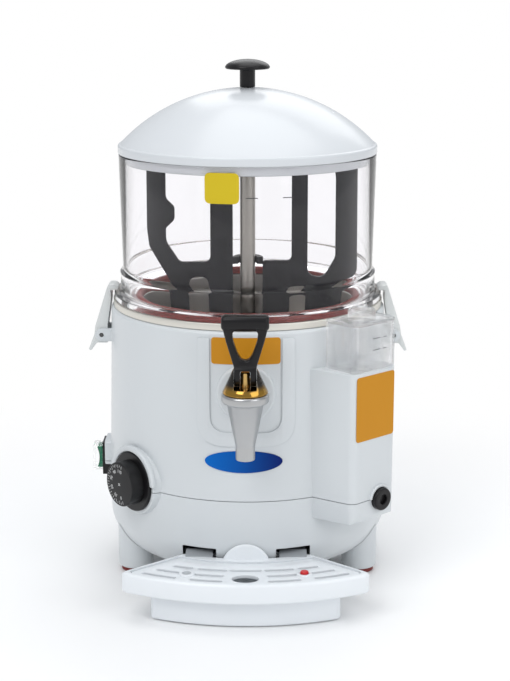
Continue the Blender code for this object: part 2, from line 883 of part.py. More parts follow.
def heating_element(parent):
    ring_height = tank_floor_top + heater_height + heater_tube_radius
    low = tank_floor_top - sheet - heater_leg_drop
    (first, _), (last, _) = heater_ends()
    ring = []
    for step in range(heater_arc_points + 1):
        angle = first + (last - first) * step / heater_arc_points
        ring.append(Vector((math.cos(angle) * heater_circle, math.sin(angle) * heater_circle, ring_height)))
    ends = []
    for (angle, way), foot in zip(heater_ends(), heater_feet()):
        along = Vector((-math.sin(angle), math.cos(angle), 0)) * way
        bend = min(heater_bend, ring_height - tank_floor_top + sheet)
        leg = [Vector((foot.x, foot.y, low))]
        for step in range(heater_bend_points):
            turn = math.pi / 2 * step / heater_bend_points
            leg.append(foot - along * heater_bend * (1 - math.cos(turn))
                       + Vector((0, 0, ring_height - bend + bend * math.sin(turn))))
        ends.append(leg)
    path = ends[0] + ring + list(reversed(ends[1]))
    curve = bpy.data.curves.new("heating_element", "CURVE")
    curve.dimensions = "3D"
    curve.bevel_depth = heater_tube_radius
    curve.bevel_resolution = 1
    curve.use_fill_caps = True
    spline = curve.splines.new("POLY")
    spline.points.add(len(path) - 1)
    for point, spot in zip(spline.points, path):
        point.co = (*spot, 1)
    curve.materials.append(material_for(dark_metal))
    element = bpy.data.objects.new("heating_element", curve)
    element.parent = parent
    bpy.context.collection.objects.link(element)
    return element


def bowl_dish(parent):
    inner = dish_radius - sheet
    floor_top = dish_floor_bottom + sheet
    corner = (dish_radius - dish_corner, dish_floor_bottom + dish_corner)
    profile = [(dish_radius + dish_rim_width, dish_rim_bottom), (dish_radius + dish_rim_width, dish_rim_top),
               (inner, dish_rim_top), *arc(corner, dish_corner - sheet, 0, -90, 4),
               (tube_radius, floor_top), (tube_radius, tube_top), (tube_bore_radius, tube_top),
               (tube_bore_radius, tube_bottom), (tube_radius, tube_bottom),
               (tube_radius, dish_floor_bottom), *arc(corner, dish_corner, -90, 0, 4),
               (dish_radius, dish_rim_bottom)]
    dish = turned("inner_dish", profile, stainless, parent, hidden_steps)
    start = dish_radius - sheet / 2
    spout = turned("inner_dish_spout", rod(outlet_radius, 0, outlet_end - start), stainless, parent,
                   small_steps)
    facing_out(spout, start, outlet_height, 0)
    bore = turned("inner_dish_bore", rod(outlet_bore_radius, 0, outlet_end - start + 2 * overrun),
                  stainless, parent, small_steps)
    facing_out(bore, start - overrun, outlet_height, 0)
    join(dish, spout)
    cut(dish, bore)
    return dish


def bowl_gasket(parent):
    low = dish_rim_top + gap
    high = bowl_bottom - gap
    inner = dish_radius - sheet
    lip_outer = bowl_mouth_radius - gap
    lip_top = bowl_bottom + bowl_floor_height
    lip_round = (lip_outer - inner) / 2
    profile = [(inner, low), (dish_radius + dish_rim_width, low), (dish_radius + dish_rim_width, high),
               (lip_outer, high), *arc((inner + lip_round, lip_top - lip_round), lip_round, 0, 180, 4)]
    return turned("bowl_gasket", profile, red_silicone, parent)


def bowl(parent):
    flange_top = bowl_bottom + bowl_flange_height
    skirt_top = bowl_bottom + bowl_skirt_height
    floor_top = bowl_bottom + bowl_floor_height
    foot_inner = bowl_foot_radius - bowl_wall
    edge = bowl_bead
    profile = [
        (bowl_mouth_radius, bowl_bottom), (bowl_flange_radius - edge, bowl_bottom),
        (bowl_flange_radius, bowl_bottom + edge), (bowl_flange_radius, flange_top - edge),
        (bowl_flange_radius - edge, flange_top), (bowl_skirt_radius + edge, flange_top),
        (bowl_skirt_radius, flange_top + edge), (bowl_skirt_radius, skirt_top),
        (bowl_foot_radius + edge, skirt_top + 2 * edge), (bowl_foot_radius + edge, skirt_top + 4 * edge),
        (bowl_foot_radius, skirt_top + 5 * edge),
        (bowl_radius, bowl_top - edge), (bowl_radius - edge / 2, bowl_top),
        (bowl_radius - bowl_wall, bowl_top),
        (foot_inner, skirt_top), (foot_inner - edge, floor_top + 3 * edge),
        (foot_inner - 3 * edge, floor_top), (bowl_mouth_radius + edge, floor_top),
        (bowl_mouth_radius, floor_top - edge),
    ]
    return turned("bowl", profile, clear_plastic, parent)


def dome_height(radius, apex, rim_radius, rise):
    # A ball cap of the given rise over the rim radius.
    ball = (rim_radius ** 2 + rise ** 2) / (2 * rise)
    return apex - ball + math.sqrt(ball ** 2 - radius ** 2)


def lid(parent):
    hole = knob_screw_radius + gap
    rise = lid_rise - lid_rim_height
    outer = []
    inner = []
    skirt_outer = bowl_radius - bowl_wall - lid_skirt_clearance
    skirt_inner = skirt_outer - lid_skirt_wall
    for step in range(lid_dome_points + 1):
        share = math.sin(math.pi / 2 * step / lid_dome_points)
        radius = hole + (lid_rim_radius - hole) * share
        outer.append((radius, dome_height(radius, lid_apex, lid_rim_radius, rise)))
        radius = hole + (skirt_inner - hole) * share
        inner.append((radius, dome_height(radius, lid_apex, lid_rim_radius, rise) - lid_wall))
    low = lid_bottom - lid_skirt_depth
    profile = [*outer, (lid_rim_radius, lid_bottom + small_edge), (lid_rim_radius - small_edge, lid_bottom),
               (skirt_outer, lid_bottom), (skirt_outer, low), (skirt_inner, low), *reversed(inner)]
    piece = turned("lid", profile, white_plastic, parent)
    return pivot_at(piece, (0, 0, lid_bottom))


def lid_knob(parent):
    low = lid_apex + gap
    top = low + knob_height
    disc_low = top - knob_disc_height
    bore = knob_screw_radius + bore_clearance
    profile = [(0, low + knob_screw_depth), (bore, low + knob_screw_depth), (bore, low),
               (knob_neck_radius - knob_edge, low), (knob_neck_radius, low + knob_edge),
               (knob_neck_radius, disc_low - 2 * knob_edge), (knob_neck_radius + 2 * knob_edge, disc_low),
               (knob_disc_radius - 2 * knob_edge, disc_low),
               (knob_disc_radius, disc_low + knob_disc_height / 4),
               (knob_disc_radius, top - knob_disc_height / 2),
               (knob_disc_radius - 2 * knob_edge, top - knob_disc_height / 5),
               (knob_disc_radius / 2, top), (0, top)]
    piece = turned("lid_knob", profile, black_plastic, parent, mid_steps)
    return pivot_at(piece, (0, 0, low))


def lid_knob_screw(parent):
    head_top = lid_apex - lid_wall - gap
    top = lid_apex + gap + knob_screw_depth - gap
    head_low = head_top - knob_screw_head_height
    profile = [(0, head_low), (knob_screw_head_radius - knob_edge, head_low),
               (knob_screw_head_radius, head_low + knob_screw_head_height / 2),
               (knob_screw_head_radius, head_top), (knob_screw_radius, head_top),
               (knob_screw_radius, top), (0, top)]
    piece = turned("lid_knob_screw", profile, stainless, parent, small_steps)
    return pivot_at(piece, (0, 0, head_low))


def drive(parent):
    shaft = turned("drive_shaft", [(0, shaft_bottom), (shaft_radius, shaft_bottom),
                                   (shaft_radius, shaft_top - small_edge),
                                   (shaft_radius - small_edge, shaft_top), (0, shaft_top)],
                   stainless, parent, small_steps)
    pivot_at(shaft, (0, 0, tube_top))
    bore = shaft_radius + bore_clearance
    seal_outer = tube_bore_radius - bore_clearance
    seal = turned("shaft_seal", [(bore, tube_top - seal_depth), (seal_outer, tube_top - seal_depth),
                                 (seal_outer, tube_top + gap), (tube_radius, tube_top + gap),
                                 (tube_radius, seal_top), (bore, seal_top)],
                  black_plastic, parent, small_steps)
    motor_top = gearbox_top - gearbox_height
    motor_bottom = motor_top - motor_height
    profile = [(0, shaft_bottom - gap), (bore, shaft_bottom - gap), (bore, gearbox_top),
               (gearbox_radius - motor_edge, gearbox_top), (gearbox_radius, gearbox_top - motor_edge),
               (gearbox_radius, motor_top + motor_edge), (gearbox_radius - motor_edge, motor_top),
               (motor_radius, motor_top), (motor_radius, motor_bottom + motor_edge),
               (motor_radius - motor_edge, motor_bottom), (0, motor_bottom)]
    motor = turned("gear_motor", profile, dark_metal, parent, mid_steps)

    bracket_low = bracket_top - bracket_thickness
    hole = tube_radius + gap
    bracket = turned("motor_bracket", [(hole, bracket_low), (bracket_radius, bracket_low),
                                       (bracket_radius, bracket_top), (hole, bracket_top)],
                     stainless, parent, mid_steps)
    for number in range(bracket_post_count):
        angle = math.tau * number / bracket_post_count
        post = turned(f"motor_bracket_post_{number}",
                      rod(bracket_post_radius, bracket_low + bracket_thickness / 2,
                          tank_floor_top - sheet - gap), stainless, parent, small_steps)
        post.location = (math.cos(angle) * bracket_post_circle, math.sin(angle) * bracket_post_circle, 0)
        join(bracket, post)
    return shaft, seal, motor, bracket


# The mixer frame: places across as shares of its reach, places up as shares of its height
mixer_outline_shares = [
    (-0.912, 1.0), (1.0, 1.0), (1.0, 0.833), (0.978, 0.753), (0.978, 0.656), (0.995, 0.570),
    (0.993, 0.476), (0.902, 0.398), (0.851, 0.355), (0.851, 0.086), (0.750, 0.0), (0.527, 0.0),
    (0.527, 0.333), (0.497, 0.371), (0.451, 0.384), (0.405, 0.371), (0.375, 0.333), (0.375, 0.0),
]
mixer_centre_shares = [
    (0.400, 0.521), (0.400, 0.946),
]
mixer_left_shares = [
    (-0.355, 0.0), (-0.355, 0.366), (-0.385, 0.409), (-0.446, 0.422), (-0.507, 0.409),
    (-0.537, 0.366), (-0.537, 0.0), (-0.628, 0.0), (-0.709, 0.065), (-0.709, 0.390),
    (-0.892, 0.586), (-0.912, 0.645),
]
mixer_left_window_shares = [
    (-0.745, 0.946), (-0.340, 0.946), (-0.340, 0.511), (-0.628, 0.511), (-0.679, 0.535),
    (-0.745, 0.608), (-0.745, 0.688), (-0.655, 0.726), (-0.655, 0.839), (-0.745, 0.876),
]
mixer_right_window_shares = [
    (0.545, 0.946), (0.800, 0.946), (0.800, 0.538), (0.750, 0.462), (0.669, 0.425),
    (0.588, 0.441), (0.545, 0.495),
]


def mixer_points(shares):
    return [(across * mixer_reach, mixer_bottom + up * mixer_height) for across, up in shares]


def mixer(parent):
    slot = mixer_slot_half_width
    bar_low = mixer_points([(0, mixer_centre_shares[1][1])])[0][1]
    bridge = mixer_points([(0, mixer_centre_shares[0][1])])[0][1]
    outline = mixer_points(mixer_outline_shares)
    outline += [(slot, mixer_bottom), (slot, bridge)]
    outline += mixer_points(mixer_centre_shares)
    outline += [(-slot, bar_low), (-slot, mixer_bottom)]
    outline += mixer_points(mixer_left_shares)
    half = mixer_thickness / 2
    frame = slab("mixer", outline, -half, half, black_plastic, parent, turn=upright,
                 holes=(mixer_points(mixer_left_window_shares), mixer_points(mixer_right_window_shares)))
    hub_low = seal_top + mixer_hub_lift
    hub_top = hub_low + mixer_hub_height
    bore = shaft_radius + bore_clearance
    hub = turned("mixer_hub", [(0, hub_low), (mixer_hub_radius, hub_low),
                               (mixer_hub_radius, hub_top - mixer_hub_chamfer),
                               (mixer_hub_radius - mixer_hub_chamfer, hub_top), (0, hub_top)],
                 black_plastic, parent, small_steps)
    hub_bore = turned("mixer_hub_bore", rod(bore, hub_low - 2 * overrun, shaft_top + gap),
                      black_plastic, parent, small_steps)
    ring_low = mixer_bottom + mixer_ring_rise
    ring_inner = tube_radius + mixer_ring_clearance
    ring = turned("mixer_ring", [(ring_inner, ring_low), (ring_inner + mixer_ring_wall, ring_low),
                                 (ring_inner + mixer_ring_wall, ring_low + mixer_ring_height),
                                 (ring_inner, ring_low + mixer_ring_height)],
                  black_plastic, parent, small_steps)
    join(frame, hub, ring)
    cut(frame, hub_bore)
    return frame


def tap_body(parent):
    band_low = collar_top - collar_band
    taper_low = band_low - taper_length
    tip = taper_low - spout_length
    profile = [(0, tip), (spout_radius, tip), (spout_radius, taper_low),
               (taper_radius, band_low), (collar_radius - small_edge, band_low),
               (collar_radius, band_low + small_edge), (collar_radius, collar_top - small_edge),
               (collar_radius - small_edge, collar_top), (0, collar_top)]
    body = turned("tap_body", profile, chrome, parent, mid_steps)
    chamber = turned("tap_body_chamber",
                     [(0, tip - overrun), (spout_bore_radius, tip - overrun),
                      (spout_bore_radius, seat_height), (chamber_radius, seat_height),
                      (chamber_radius, collar_top + overrun), (0, collar_top + overrun)],
                     chrome, parent, mid_steps)
    body.location = (0, -tap_reach, 0)
    chamber.location = (0, -tap_reach, 0)
    face = boss_face()
    flange_face = face + gap + tap_gasket_thickness + gap
    start = flange_face - tap_gasket_thickness - boss_rise - 5 * casing_wall
    reach_in = tap_reach - start
    shank = turned("tap_body_shank", [(0, 0), (shank_radius, 0), (shank_radius, flange_face - start),
                                      (shank_flange_radius, flange_face - start),
                                      (shank_flange_radius, flange_face - start + shank_flange_thickness),
                                      (shank_radius, flange_face - start + shank_flange_thickness),
                                      (shank_radius, reach_in), (0, reach_in)],
                   chrome, parent, mid_steps)
    facing_out(shank, start, outlet_height, 0)
    socket = turned("tap_body_socket", rod(outlet_radius + gap, 0, outlet_end + gap - start + overrun),
                    chrome, parent, small_steps)
    facing_out(socket, start - overrun, outlet_height, 0)
    bore = turned("tap_body_bore", rod(outlet_bore_radius, 0, tap_reach - start + overrun), chrome,
                  parent, small_steps)
    facing_out(bore, start - overrun, outlet_height, 0)
    join(body, shank)
    cut(body, chamber, socket, bore)

    gasket = turned("tap_gasket", [(shank_radius + gap, 0), (shank_flange_radius + gap, 0),
                                   (shank_flange_radius + gap, tap_gasket_thickness),
                                   (shank_radius + gap, tap_gasket_thickness)],
                    black_plastic, parent, mid_steps)
    facing_out(gasket, face + gap, outlet_height, 0)

    wall_inner = casing_radius_at(outlet_height + tap_nut_radius) - casing_wall
    nut_face = math.sqrt(wall_inner ** 2 - tap_nut_radius ** 2) - gap
    nut = turned("tap_nut", [(tap_nut_radius, 0), (tap_nut_radius, tap_nut_thickness),
                             (0, tap_nut_thickness), (0, 0)], brass, parent, tap_nut_sides)
    nut_hole = turned("tap_nut_hole", rod(shank_radius + gap, -overrun, tap_nut_thickness + overrun),
                      brass, parent, mid_steps)
    facing_out(nut, nut_face - tap_nut_thickness, outlet_height, 0)
    facing_out(nut_hole, nut_face - tap_nut_thickness, outlet_height, 0)
    cut(nut, nut_hole)
    return body


def boss_face():
    return casing_radius_at(outlet_height) + boss_rise


def tap_bonnet(parent):
    spigot_outer = chamber_radius - bonnet_spigot_clearance
    spigot_inner = spigot_outer - bonnet_spigot_wall
    spigot_low = bonnet_bottom - bonnet_spigot_length
    ceiling = pocket_floor - bonnet_floor_thickness
    tip = bonnet_bottom + bonnet_edge + bonnet_cone_height
    hole = stem_radius + bore_clearance
    profile = [(spigot_inner, spigot_low), (spigot_outer, spigot_low), (spigot_outer, bonnet_bottom),
               (bonnet_radius, bonnet_bottom), (bonnet_radius, bonnet_bottom + bonnet_edge),
               (bonnet_tip_radius, tip), (hole, tip), (hole, ceiling), (spigot_inner, ceiling)]
    bonnet = turned("tap_bonnet", profile, chrome, parent, mid_steps)
    bonnet.location = (0, -tap_reach, 0)
    half = neck_half_width + neck_side_clearance
    far = bonnet_radius + overrun
    pocket = box("tap_bonnet_pocket", (-half, -tap_reach - far, pocket_floor),
                 (half, -tap_reach + far, tip + overrun), chrome, parent)
    return cut(bonnet, pocket)


def tap_plunger(parent):
    low = cup_bottom + cup_height + gap
    tip_top = low
    tip_bottom = low - stem_tip_length
    top = pin_height + stem_above_pin
    profile = [(0, tip_bottom), (stem_tip_radius, tip_bottom), (stem_tip_radius, tip_top),
               (stem_radius, tip_top), (stem_radius, top - small_edge), (stem_radius - small_edge, top),
               (0, top)]
    stem = turned("tap_stem", profile, brass, parent, small_steps)
    pivot_at(stem, (0, 0, pin_height))
    stem.location = (0, -tap_reach, pin_height)
    hole = turned("tap_stem_hole", rod(pin_radius + pin_clearance, -2 * stem_radius, 2 * stem_radius),
                  brass, parent, small_steps)
    hole.location = (0, -tap_reach, pin_height)
    hole.rotation_euler = (0, math.radians(90), 0)
    cut(stem, hole)

    pin_half = neck_half_width - pin_clearance
    pin = turned("lever_pin", rod(pin_radius, -pin_half, pin_half), stainless, parent, small_steps)
    pin.location = (0, -tap_reach, pin_height)
    pin.rotation_euler = (0, math.radians(90), 0)

    socket = stem_tip_radius + gap
    cup_top = cup_bottom + cup_height
    profile = [(0, cup_bottom), (cup_radius - cup_lip, cup_bottom), (cup_radius, cup_bottom + cup_lip),
               (cup_radius, cup_top), (socket, cup_top), (socket, tip_bottom - gap), (0, tip_bottom - gap)]
    cup = turned("tap_seat_cup", profile, red_silicone, parent, mid_steps)
    pivot_at(cup, (0, 0, cup_bottom))
    cup.location = (0, -tap_reach, cup_bottom)
    return stem


def tap_spring(parent):
    low = cup_bottom + cup_height + gap + spring_wire
    high = pocket_floor - bonnet_floor_thickness - gap - spring_wire
    count = spring_turns * spring_points_per_turn
    curve = bpy.data.curves.new("tap_spring", "CURVE")
    curve.dimensions = "3D"
    curve.bevel_depth = spring_wire
    curve.bevel_resolution = 1
    curve.use_fill_caps = True
    spline = curve.splines.new("POLY")
    spline.points.add(count)
    for index, point in enumerate(spline.points):
        angle = math.tau * index / spring_points_per_turn
        height = low + (high - low) * index / count
        point.co = (math.cos(angle) * spring_radius, math.sin(angle) * spring_radius, height, 1)
    curve.materials.append(material_for(stainless))
    spring = bpy.data.objects.new("tap_spring", curve)
    spring.location = (0, -tap_reach, 0)
    spring.parent = parent
    bpy.context.collection.objects.link(spring)
    print("least gap between spring turns", (high - low) / spring_turns - 2 * spring_wire)
    return spring


# One half of the lever's loop, from the neck to the top bar: shares of half width and height
lever_side_shares = [(0.467, 0.13), (0.467, 0.235), (0.56, 0.36), (0.80, 0.62), (0.93, 0.80)]
lever_opening_shares = [(0.0, 0.345), (0.16, 0.365), (0.30, 0.44), (0.50, 0.62), (0.53, 0.74), (0.47, 0.775)]


def tap_lever(parent):
    low = pin_height
    top = low + lever_height
    half = lever_half_width
    side = [(across * half, low + up * lever_height) for across, up in lever_side_shares]
    bar_low = top - lever_bar_height
    outline = side + [(half * lever_shoulder_share, bar_low + lever_bar_round)]
    outline += [(-across, up) for across, up in reversed(outline)]
    opening = [(across * half, low + up * lever_height) for across, up in lever_opening_shares]
    opening += [(-across, up) for across, up in reversed(opening[1:])]
    lever = slab("tap_lever", outline, -lever_half_depth, lever_half_depth, black_plastic, parent,
                 holes=(opening,), turn=upright)
    bar_outline = block(lever_bar_half_depth, bar_low, top, lever_bar_round)
    bar = slab("tap_lever_bar", bar_outline, -half, half, black_plastic, parent, turn=sideways)
    neck_top = low + lever_side_shares[2][1] * lever_height
    neck_outline = [*arc((0, low), cheek_radius, 180, 360, small_steps),
                    (neck_half_depth, neck_top - small_edge),
                    (lever_half_depth - small_edge, neck_top), (-lever_half_depth + small_edge, neck_top),
                    (-neck_half_depth, neck_top - small_edge)]
    neck = slab("tap_lever_neck", neck_outline, -neck_half_width, neck_half_width, black_plastic,
                parent, turn=sideways)
    slot_half = stem_radius + cheek_slot_clearance
    slot = box("tap_lever_slot", (-slot_half, -2 * cheek_radius, low - 2 * cheek_radius),
               (slot_half, 2 * cheek_radius, low + crotch_above_pin), black_plastic, parent)
    hole_reach = 2 * neck_half_width
    hole = turned("tap_lever_hole", rod(pin_radius + pin_clearance, -hole_reach, hole_reach),
                  black_plastic, parent, small_steps)
    hole.rotation_euler = (0, math.radians(90), 0)
    hole.location = (0, 0, low)
    for piece in (lever, bar, neck, slot, hole):
        piece.location.y = -tap_reach
    join(lever, bar, neck)
    cut(lever, slot, hole)
    lever.data.transform(Matrix.Translation((0, 0, -low)))
    lever.location.z = low
    return lever


def latch(name, side, parent):
    # The clip's side view: tab, block, plate and the hook over the bowl's flange.
    flange_top = bowl_bottom + bowl_flange_height
    hook_low = flange_top + gap
    hook_top = hook_low + latch_hook_thickness
    inner_low = casing_radius_at(latch_pin_height) + latch_clear
    inner_top = bowl_flange_radius + latch_clear
    foot = latch_pin_height - latch_foot_drop
    outline = [
        (inner_low, foot), (latch_outer_reach - latch_tab_thickness, foot),
        (latch_tab_reach - latch_tab_thickness, latch_pin_height - latch_tab_drop),
        (latch_tab_reach, latch_pin_height - latch_tab_drop + latch_tab_thickness / 2),
        (latch_outer_reach, foot + latch_foot_drop),
        (latch_outer_reach - latch_tab_thickness / 2, foot + 2 * latch_foot_drop),
        (inner_top + latch_plate, hook_top - latch_hook_thickness / 2),
        (inner_top + latch_plate / 2, hook_top), (latch_hook_reach + latch_plate, hook_top),
        (latch_hook_reach, hook_low + latch_hook_thickness / 2), (latch_hook_reach, hook_low),
        (inner_top, hook_low), (inner_top, hook_low - latch_hook_thickness * 2),
        (inner_low, foot + 2 * latch_foot_drop),
    ]
    outline = [(side * across, up) for across, up in outline]
    clip = slab(f"latch_{name}", outline, -latch_half_width, latch_half_width, white_plastic, parent,
                turn=upright)
    hole_reach = 2 * latch_half_width
    hole = turned(f"latch_{name}_hole", rod(latch_pin_radius + gap, -hole_reach, hole_reach),
                  white_plastic, parent, small_steps)
    hole.location = (side * latch_pin_reach, 0, latch_pin_height)
    hole.rotation_euler = (math.radians(90), 0, 0)
    cut(clip, hole)
    pivot_at(clip, (side * latch_pin_reach, 0, latch_pin_height))
    pin_half = latch_half_width + gap + ear_thickness
    pin = turned(f"latch_{name}_pin", rod(latch_pin_radius, -pin_half, pin_half), stainless, parent,
                 small_steps)
    pin.location = (side * latch_pin_reach, 0, latch_pin_height)
    pin.rotation_euler = (math.radians(90), 0, 0)
    return clip


def thermostat(parent):
    bezel_low = dial_pad_reach + gap
    bezel = turned("thermostat_bezel",
                   [(bezel_bore_radius, 0), (bezel_radius, 0), (bezel_radius, bezel_thickness / 2),
                    (bezel_radius - bezel_thickness / 2, bezel_thickness),
                    (bezel_bore_radius, bezel_thickness)], black_plastic, parent, mid_steps)
    facing_out(bezel, bezel_low, dial_height, dial_azimuth)

    knob_low = bezel_low + bezel_thickness + gap
    body_face = casing_radius - casing_wall - thermostat_half_size ** 2 / casing_radius - 2 * gap
    dial_shaft_length = knob_low - body_face + dial_shaft_engagement
    profile = [(0, -dial_shaft_length), (dial_shaft_radius, -dial_shaft_length), (dial_shaft_radius, 0),
               (dial_radius, 0), (dial_radius, dial_length - dial_edge),
               (dial_radius - dial_edge, dial_length), (0, dial_length)]
    knob = turned("thermostat_knob", profile, black_plastic, parent, mid_steps)
    facing_out(knob, knob_low, dial_height, dial_azimuth)

    half = thermostat_half_size
    body = slab("thermostat_body", block(half, -half, half, thermostat_round), -thermostat_depth, 0,
                dark_metal, parent)
    facing_out(body, body_face, dial_height, dial_azimuth)
    bore = turned("thermostat_body_bore", rod(dial_shaft_radius + gap, -dial_shaft_engagement - gap, overrun),
                  dark_metal, parent, small_steps)
    facing_out(bore, body_face, dial_height, dial_azimuth)
    cut(body, bore)
    return knob


def power_switch(parent):
    low = switch_pad_reach + gap
    opening = block(switch_frame_half_width - switch_frame_border,
                    -switch_frame_half_height + switch_frame_border,
                    switch_frame_half_height - switch_frame_border, 0)
    outline = block(switch_frame_half_width, -switch_frame_half_height, switch_frame_half_height,
                    switch_frame_border / 2)
    frame = slab("switch_frame", outline, 0, switch_frame_thickness, black_plastic, parent)
    inner = switch_frame_half_width - switch_frame_border
    inner_height = switch_frame_half_height - switch_frame_border
    tail = slab("switch_frame_tail", block(inner, -inner_height, inner_height, 0), -switch_body_depth,
                switch_frame_thickness / 2, black_plastic, parent)
    well = slab("switch_frame_well", block(inner - switch_body_inset, -inner_height + switch_body_inset,
                                           inner_height - switch_body_inset, 0),
                -switch_body_depth + switch_body_inset, switch_frame_thickness + overrun,
                black_plastic, parent)
    for piece in (frame, tail, well):
        facing_out(piece, low, switch_height, -90)
    join(frame, tail)
    cut(frame, well)

    half = inner - switch_body_inset - rocker_clearance
    half_height = inner_height - switch_body_inset - rocker_clearance * 2
    crown = switch_frame_thickness + rocker_thickness
    side_view = [(-half_height, -rocker_depth), (half_height, -rocker_depth), (half_height, crown),
                 (half_height / 2, crown - rocker_bow), (0, crown - rocker_dip),
                 (-half_height / 2, crown - rocker_bow), (-half_height, crown)]
    rocker = slab("power_rocker", side_view, -half, half, green_plastic, parent, turn=sideways)
    facing_out(rocker, low, switch_height, -90)

    cover_outline = block(switch_frame_half_width, -switch_frame_half_height, switch_frame_half_height,
                          cover_round)
    cover_inner = block(switch_frame_half_width - cover_wall, -switch_frame_half_height + cover_wall,
                        switch_frame_half_height - cover_wall, cover_round - cover_wall)
    cover = slab("switch_cover", cover_outline, 0, cover_depth, clear_plastic, parent)
    room = slab("switch_cover_room", cover_inner, -overrun, cover_depth - cover_wall, clear_plastic, parent)
    for piece in (cover, room):
        facing_out(piece, low + switch_frame_thickness + gap, switch_height, -90)
    cut(cover, room)
    return rocker


def drain(parent):
    low = pod_reach + gap
    flange = drain_flange_thickness
    edge = drain_flange_thickness / 4
    profile = [(0, -drain_barrel_length), (drain_barrel_radius - edge, -drain_barrel_length),
               (drain_barrel_radius, -drain_barrel_length + edge), (drain_barrel_radius, 0),
               (drain_flange_radius, 0), (drain_flange_radius, flange - edge),
               (drain_flange_radius - edge, flange), (drain_recess_radius, flange),
               (drain_recess_radius - edge, flange - drain_recess_depth), (0, flange - drain_recess_depth)]
    plug = turned("drain_plug", profile, black_plastic, parent, mid_steps)
    facing_out(plug, low, drain_height, pod_azimuth, drain_offset)

    inner = drain_barrel_radius + gap
    start = pod_reach - casing_wall - gap - socket_length
    outer = inner + socket_wall
    socket = turned("drain_socket", [(inner, 0), (outer, 0), (outer, socket_length), (inner, socket_length)],
                    stainless, parent, mid_steps)
    facing_out(socket, start, drain_height, pod_azimuth, drain_offset)
    return plug


def reservoir_back():
    return casing_radius_at(pod_top) + reservoir_back_clearance


def reservoir_middle():
    middle = (reservoir_back() + pod_reach) / 2
    turn = math.radians(pod_azimuth)
    return (middle * math.sin(turn), -middle * math.cos(turn), 0)


def reservoir_outline(inset):
    edge = pod_half_width - inset
    back = -reservoir_back() - inset
    front = -pod_reach + inset
    corner = reservoir_corner - inset
    return rounded([(-edge, back, 0), (-edge, front, corner), (edge, front, corner), (edge, back, 0)])


def water_reservoir(parent):
    low = pod_top + gap
    top = low + reservoir_height
    tank = slab("water_reservoir", reservoir_outline(0), low, top, clear_plastic, parent)
    room = slab("water_reservoir_room", reservoir_outline(reservoir_wall), low + reservoir_wall,
                top + overrun, clear_plastic, parent)
    at_azimuth(tank, pod_azimuth)
    at_azimuth(room, pod_azimuth)
    spigot = turned("water_reservoir_spigot", rod(reservoir_spigot_radius, low - reservoir_spigot_drop,
                                                  low + reservoir_wall / 2),
                    clear_plastic, parent, small_steps)
    bore = turned("water_reservoir_bore", rod(reservoir_spigot_bore, low - reservoir_spigot_drop - overrun,
                                              low + reservoir_wall + overrun),
                  clear_plastic, parent, small_steps)
    spigot.location = reservoir_middle()
    bore.location = reservoir_middle()
    cut(tank, room)
    join(tank, spigot)
    cut(tank, bore)

    cap_low = top + gap
    cap_top = cap_low + cap_thickness
    cap = slab("reservoir_lid", reservoir_outline(0), cap_low, cap_top, clear_plastic, parent)
    dome_top = cap_top + cap_dome_height
    round_centre = (cap_dome_radius - cap_dome_round, dome_top - cap_dome_round)
    dome = turned("reservoir_lid_dome",
                  [(0, cap_low + cap_thickness / 2), (cap_dome_radius, cap_low + cap_thickness / 2),
                   *arc(round_centre, cap_dome_round, 0, 90, curve_steps), (0, dome_top)],
                  clear_plastic, parent, hidden_steps)
    dome.location = reservoir_middle()
    at_azimuth(cap, pod_azimuth)
    join(cap, dome)
    cap.data.transform(Matrix.Translation((0, 0, -cap_low)))
    cap.location.z = cap_low
    return tank


def tray_arc_centre():
    # The front edge is an arc through the two corners and the foremost point.
    sagitta = tray_front - tray_corner_y
    radius = (tray_corner_x ** 2 + sagitta ** 2) / (2 * sagitta)
    return -tray_front + radius, radius


def tray_outline(inset, rear_radius, steps=10):
    # Front arc, rounded corners, straight rear edges, then an arc that follows the casing.
    centre_y, radius = tray_arc_centre()
    radius -= inset
    rear = Vector((tray_rear_x, -math.sqrt(tray_rear_radius ** 2 - tray_rear_x ** 2)))
    corner = Vector((tray_corner_x, -tray_corner_y))
    along = (rear - corner).normalized()
    normal = Vector((along.y, -along.x))
    if normal.x > 0:
        normal = -normal
    start = corner + normal * inset
    offset = start - Vector((0, centre_y))
    back = -offset.dot(along) - math.sqrt(offset.dot(along) ** 2 - offset.length_squared + radius ** 2)
    front_corner = start + along * back
    ahead = -start.dot(along) - math.sqrt(start.dot(along) ** 2 - start.length_squared + rear_radius ** 2)
    rear_corner = start + along * ahead
    corner_round = tray_corner_round
    edge_angle = math.degrees(math.atan2(front_corner.x, centre_y - front_corner.y))
    trim_angle = math.degrees(corner_round / radius)
    front = arc((0, centre_y), radius, -90 - edge_angle + trim_angle, -90 + edge_angle - trim_angle, steps)
    touch = front_corner + along * corner_round
    last = Vector(front[-1])
    curve = []
    for share in (0.25, 0.5, 0.75, 1.0):
        spot = last * (1 - share) ** 2 + front_corner * 2 * share * (1 - share) + touch * share ** 2
        curve.append((spot.x, spot.y))
    rear_angle = math.degrees(math.atan2(rear_corner.x, -rear_corner.y))
    rear_arc = arc((0, 0), rear_radius, -90 + rear_angle, -90 - rear_angle, steps)
    mirrored = [(-x, y) for x, y in reversed(curve)]
    return mirrored + front + curve + rear_arc


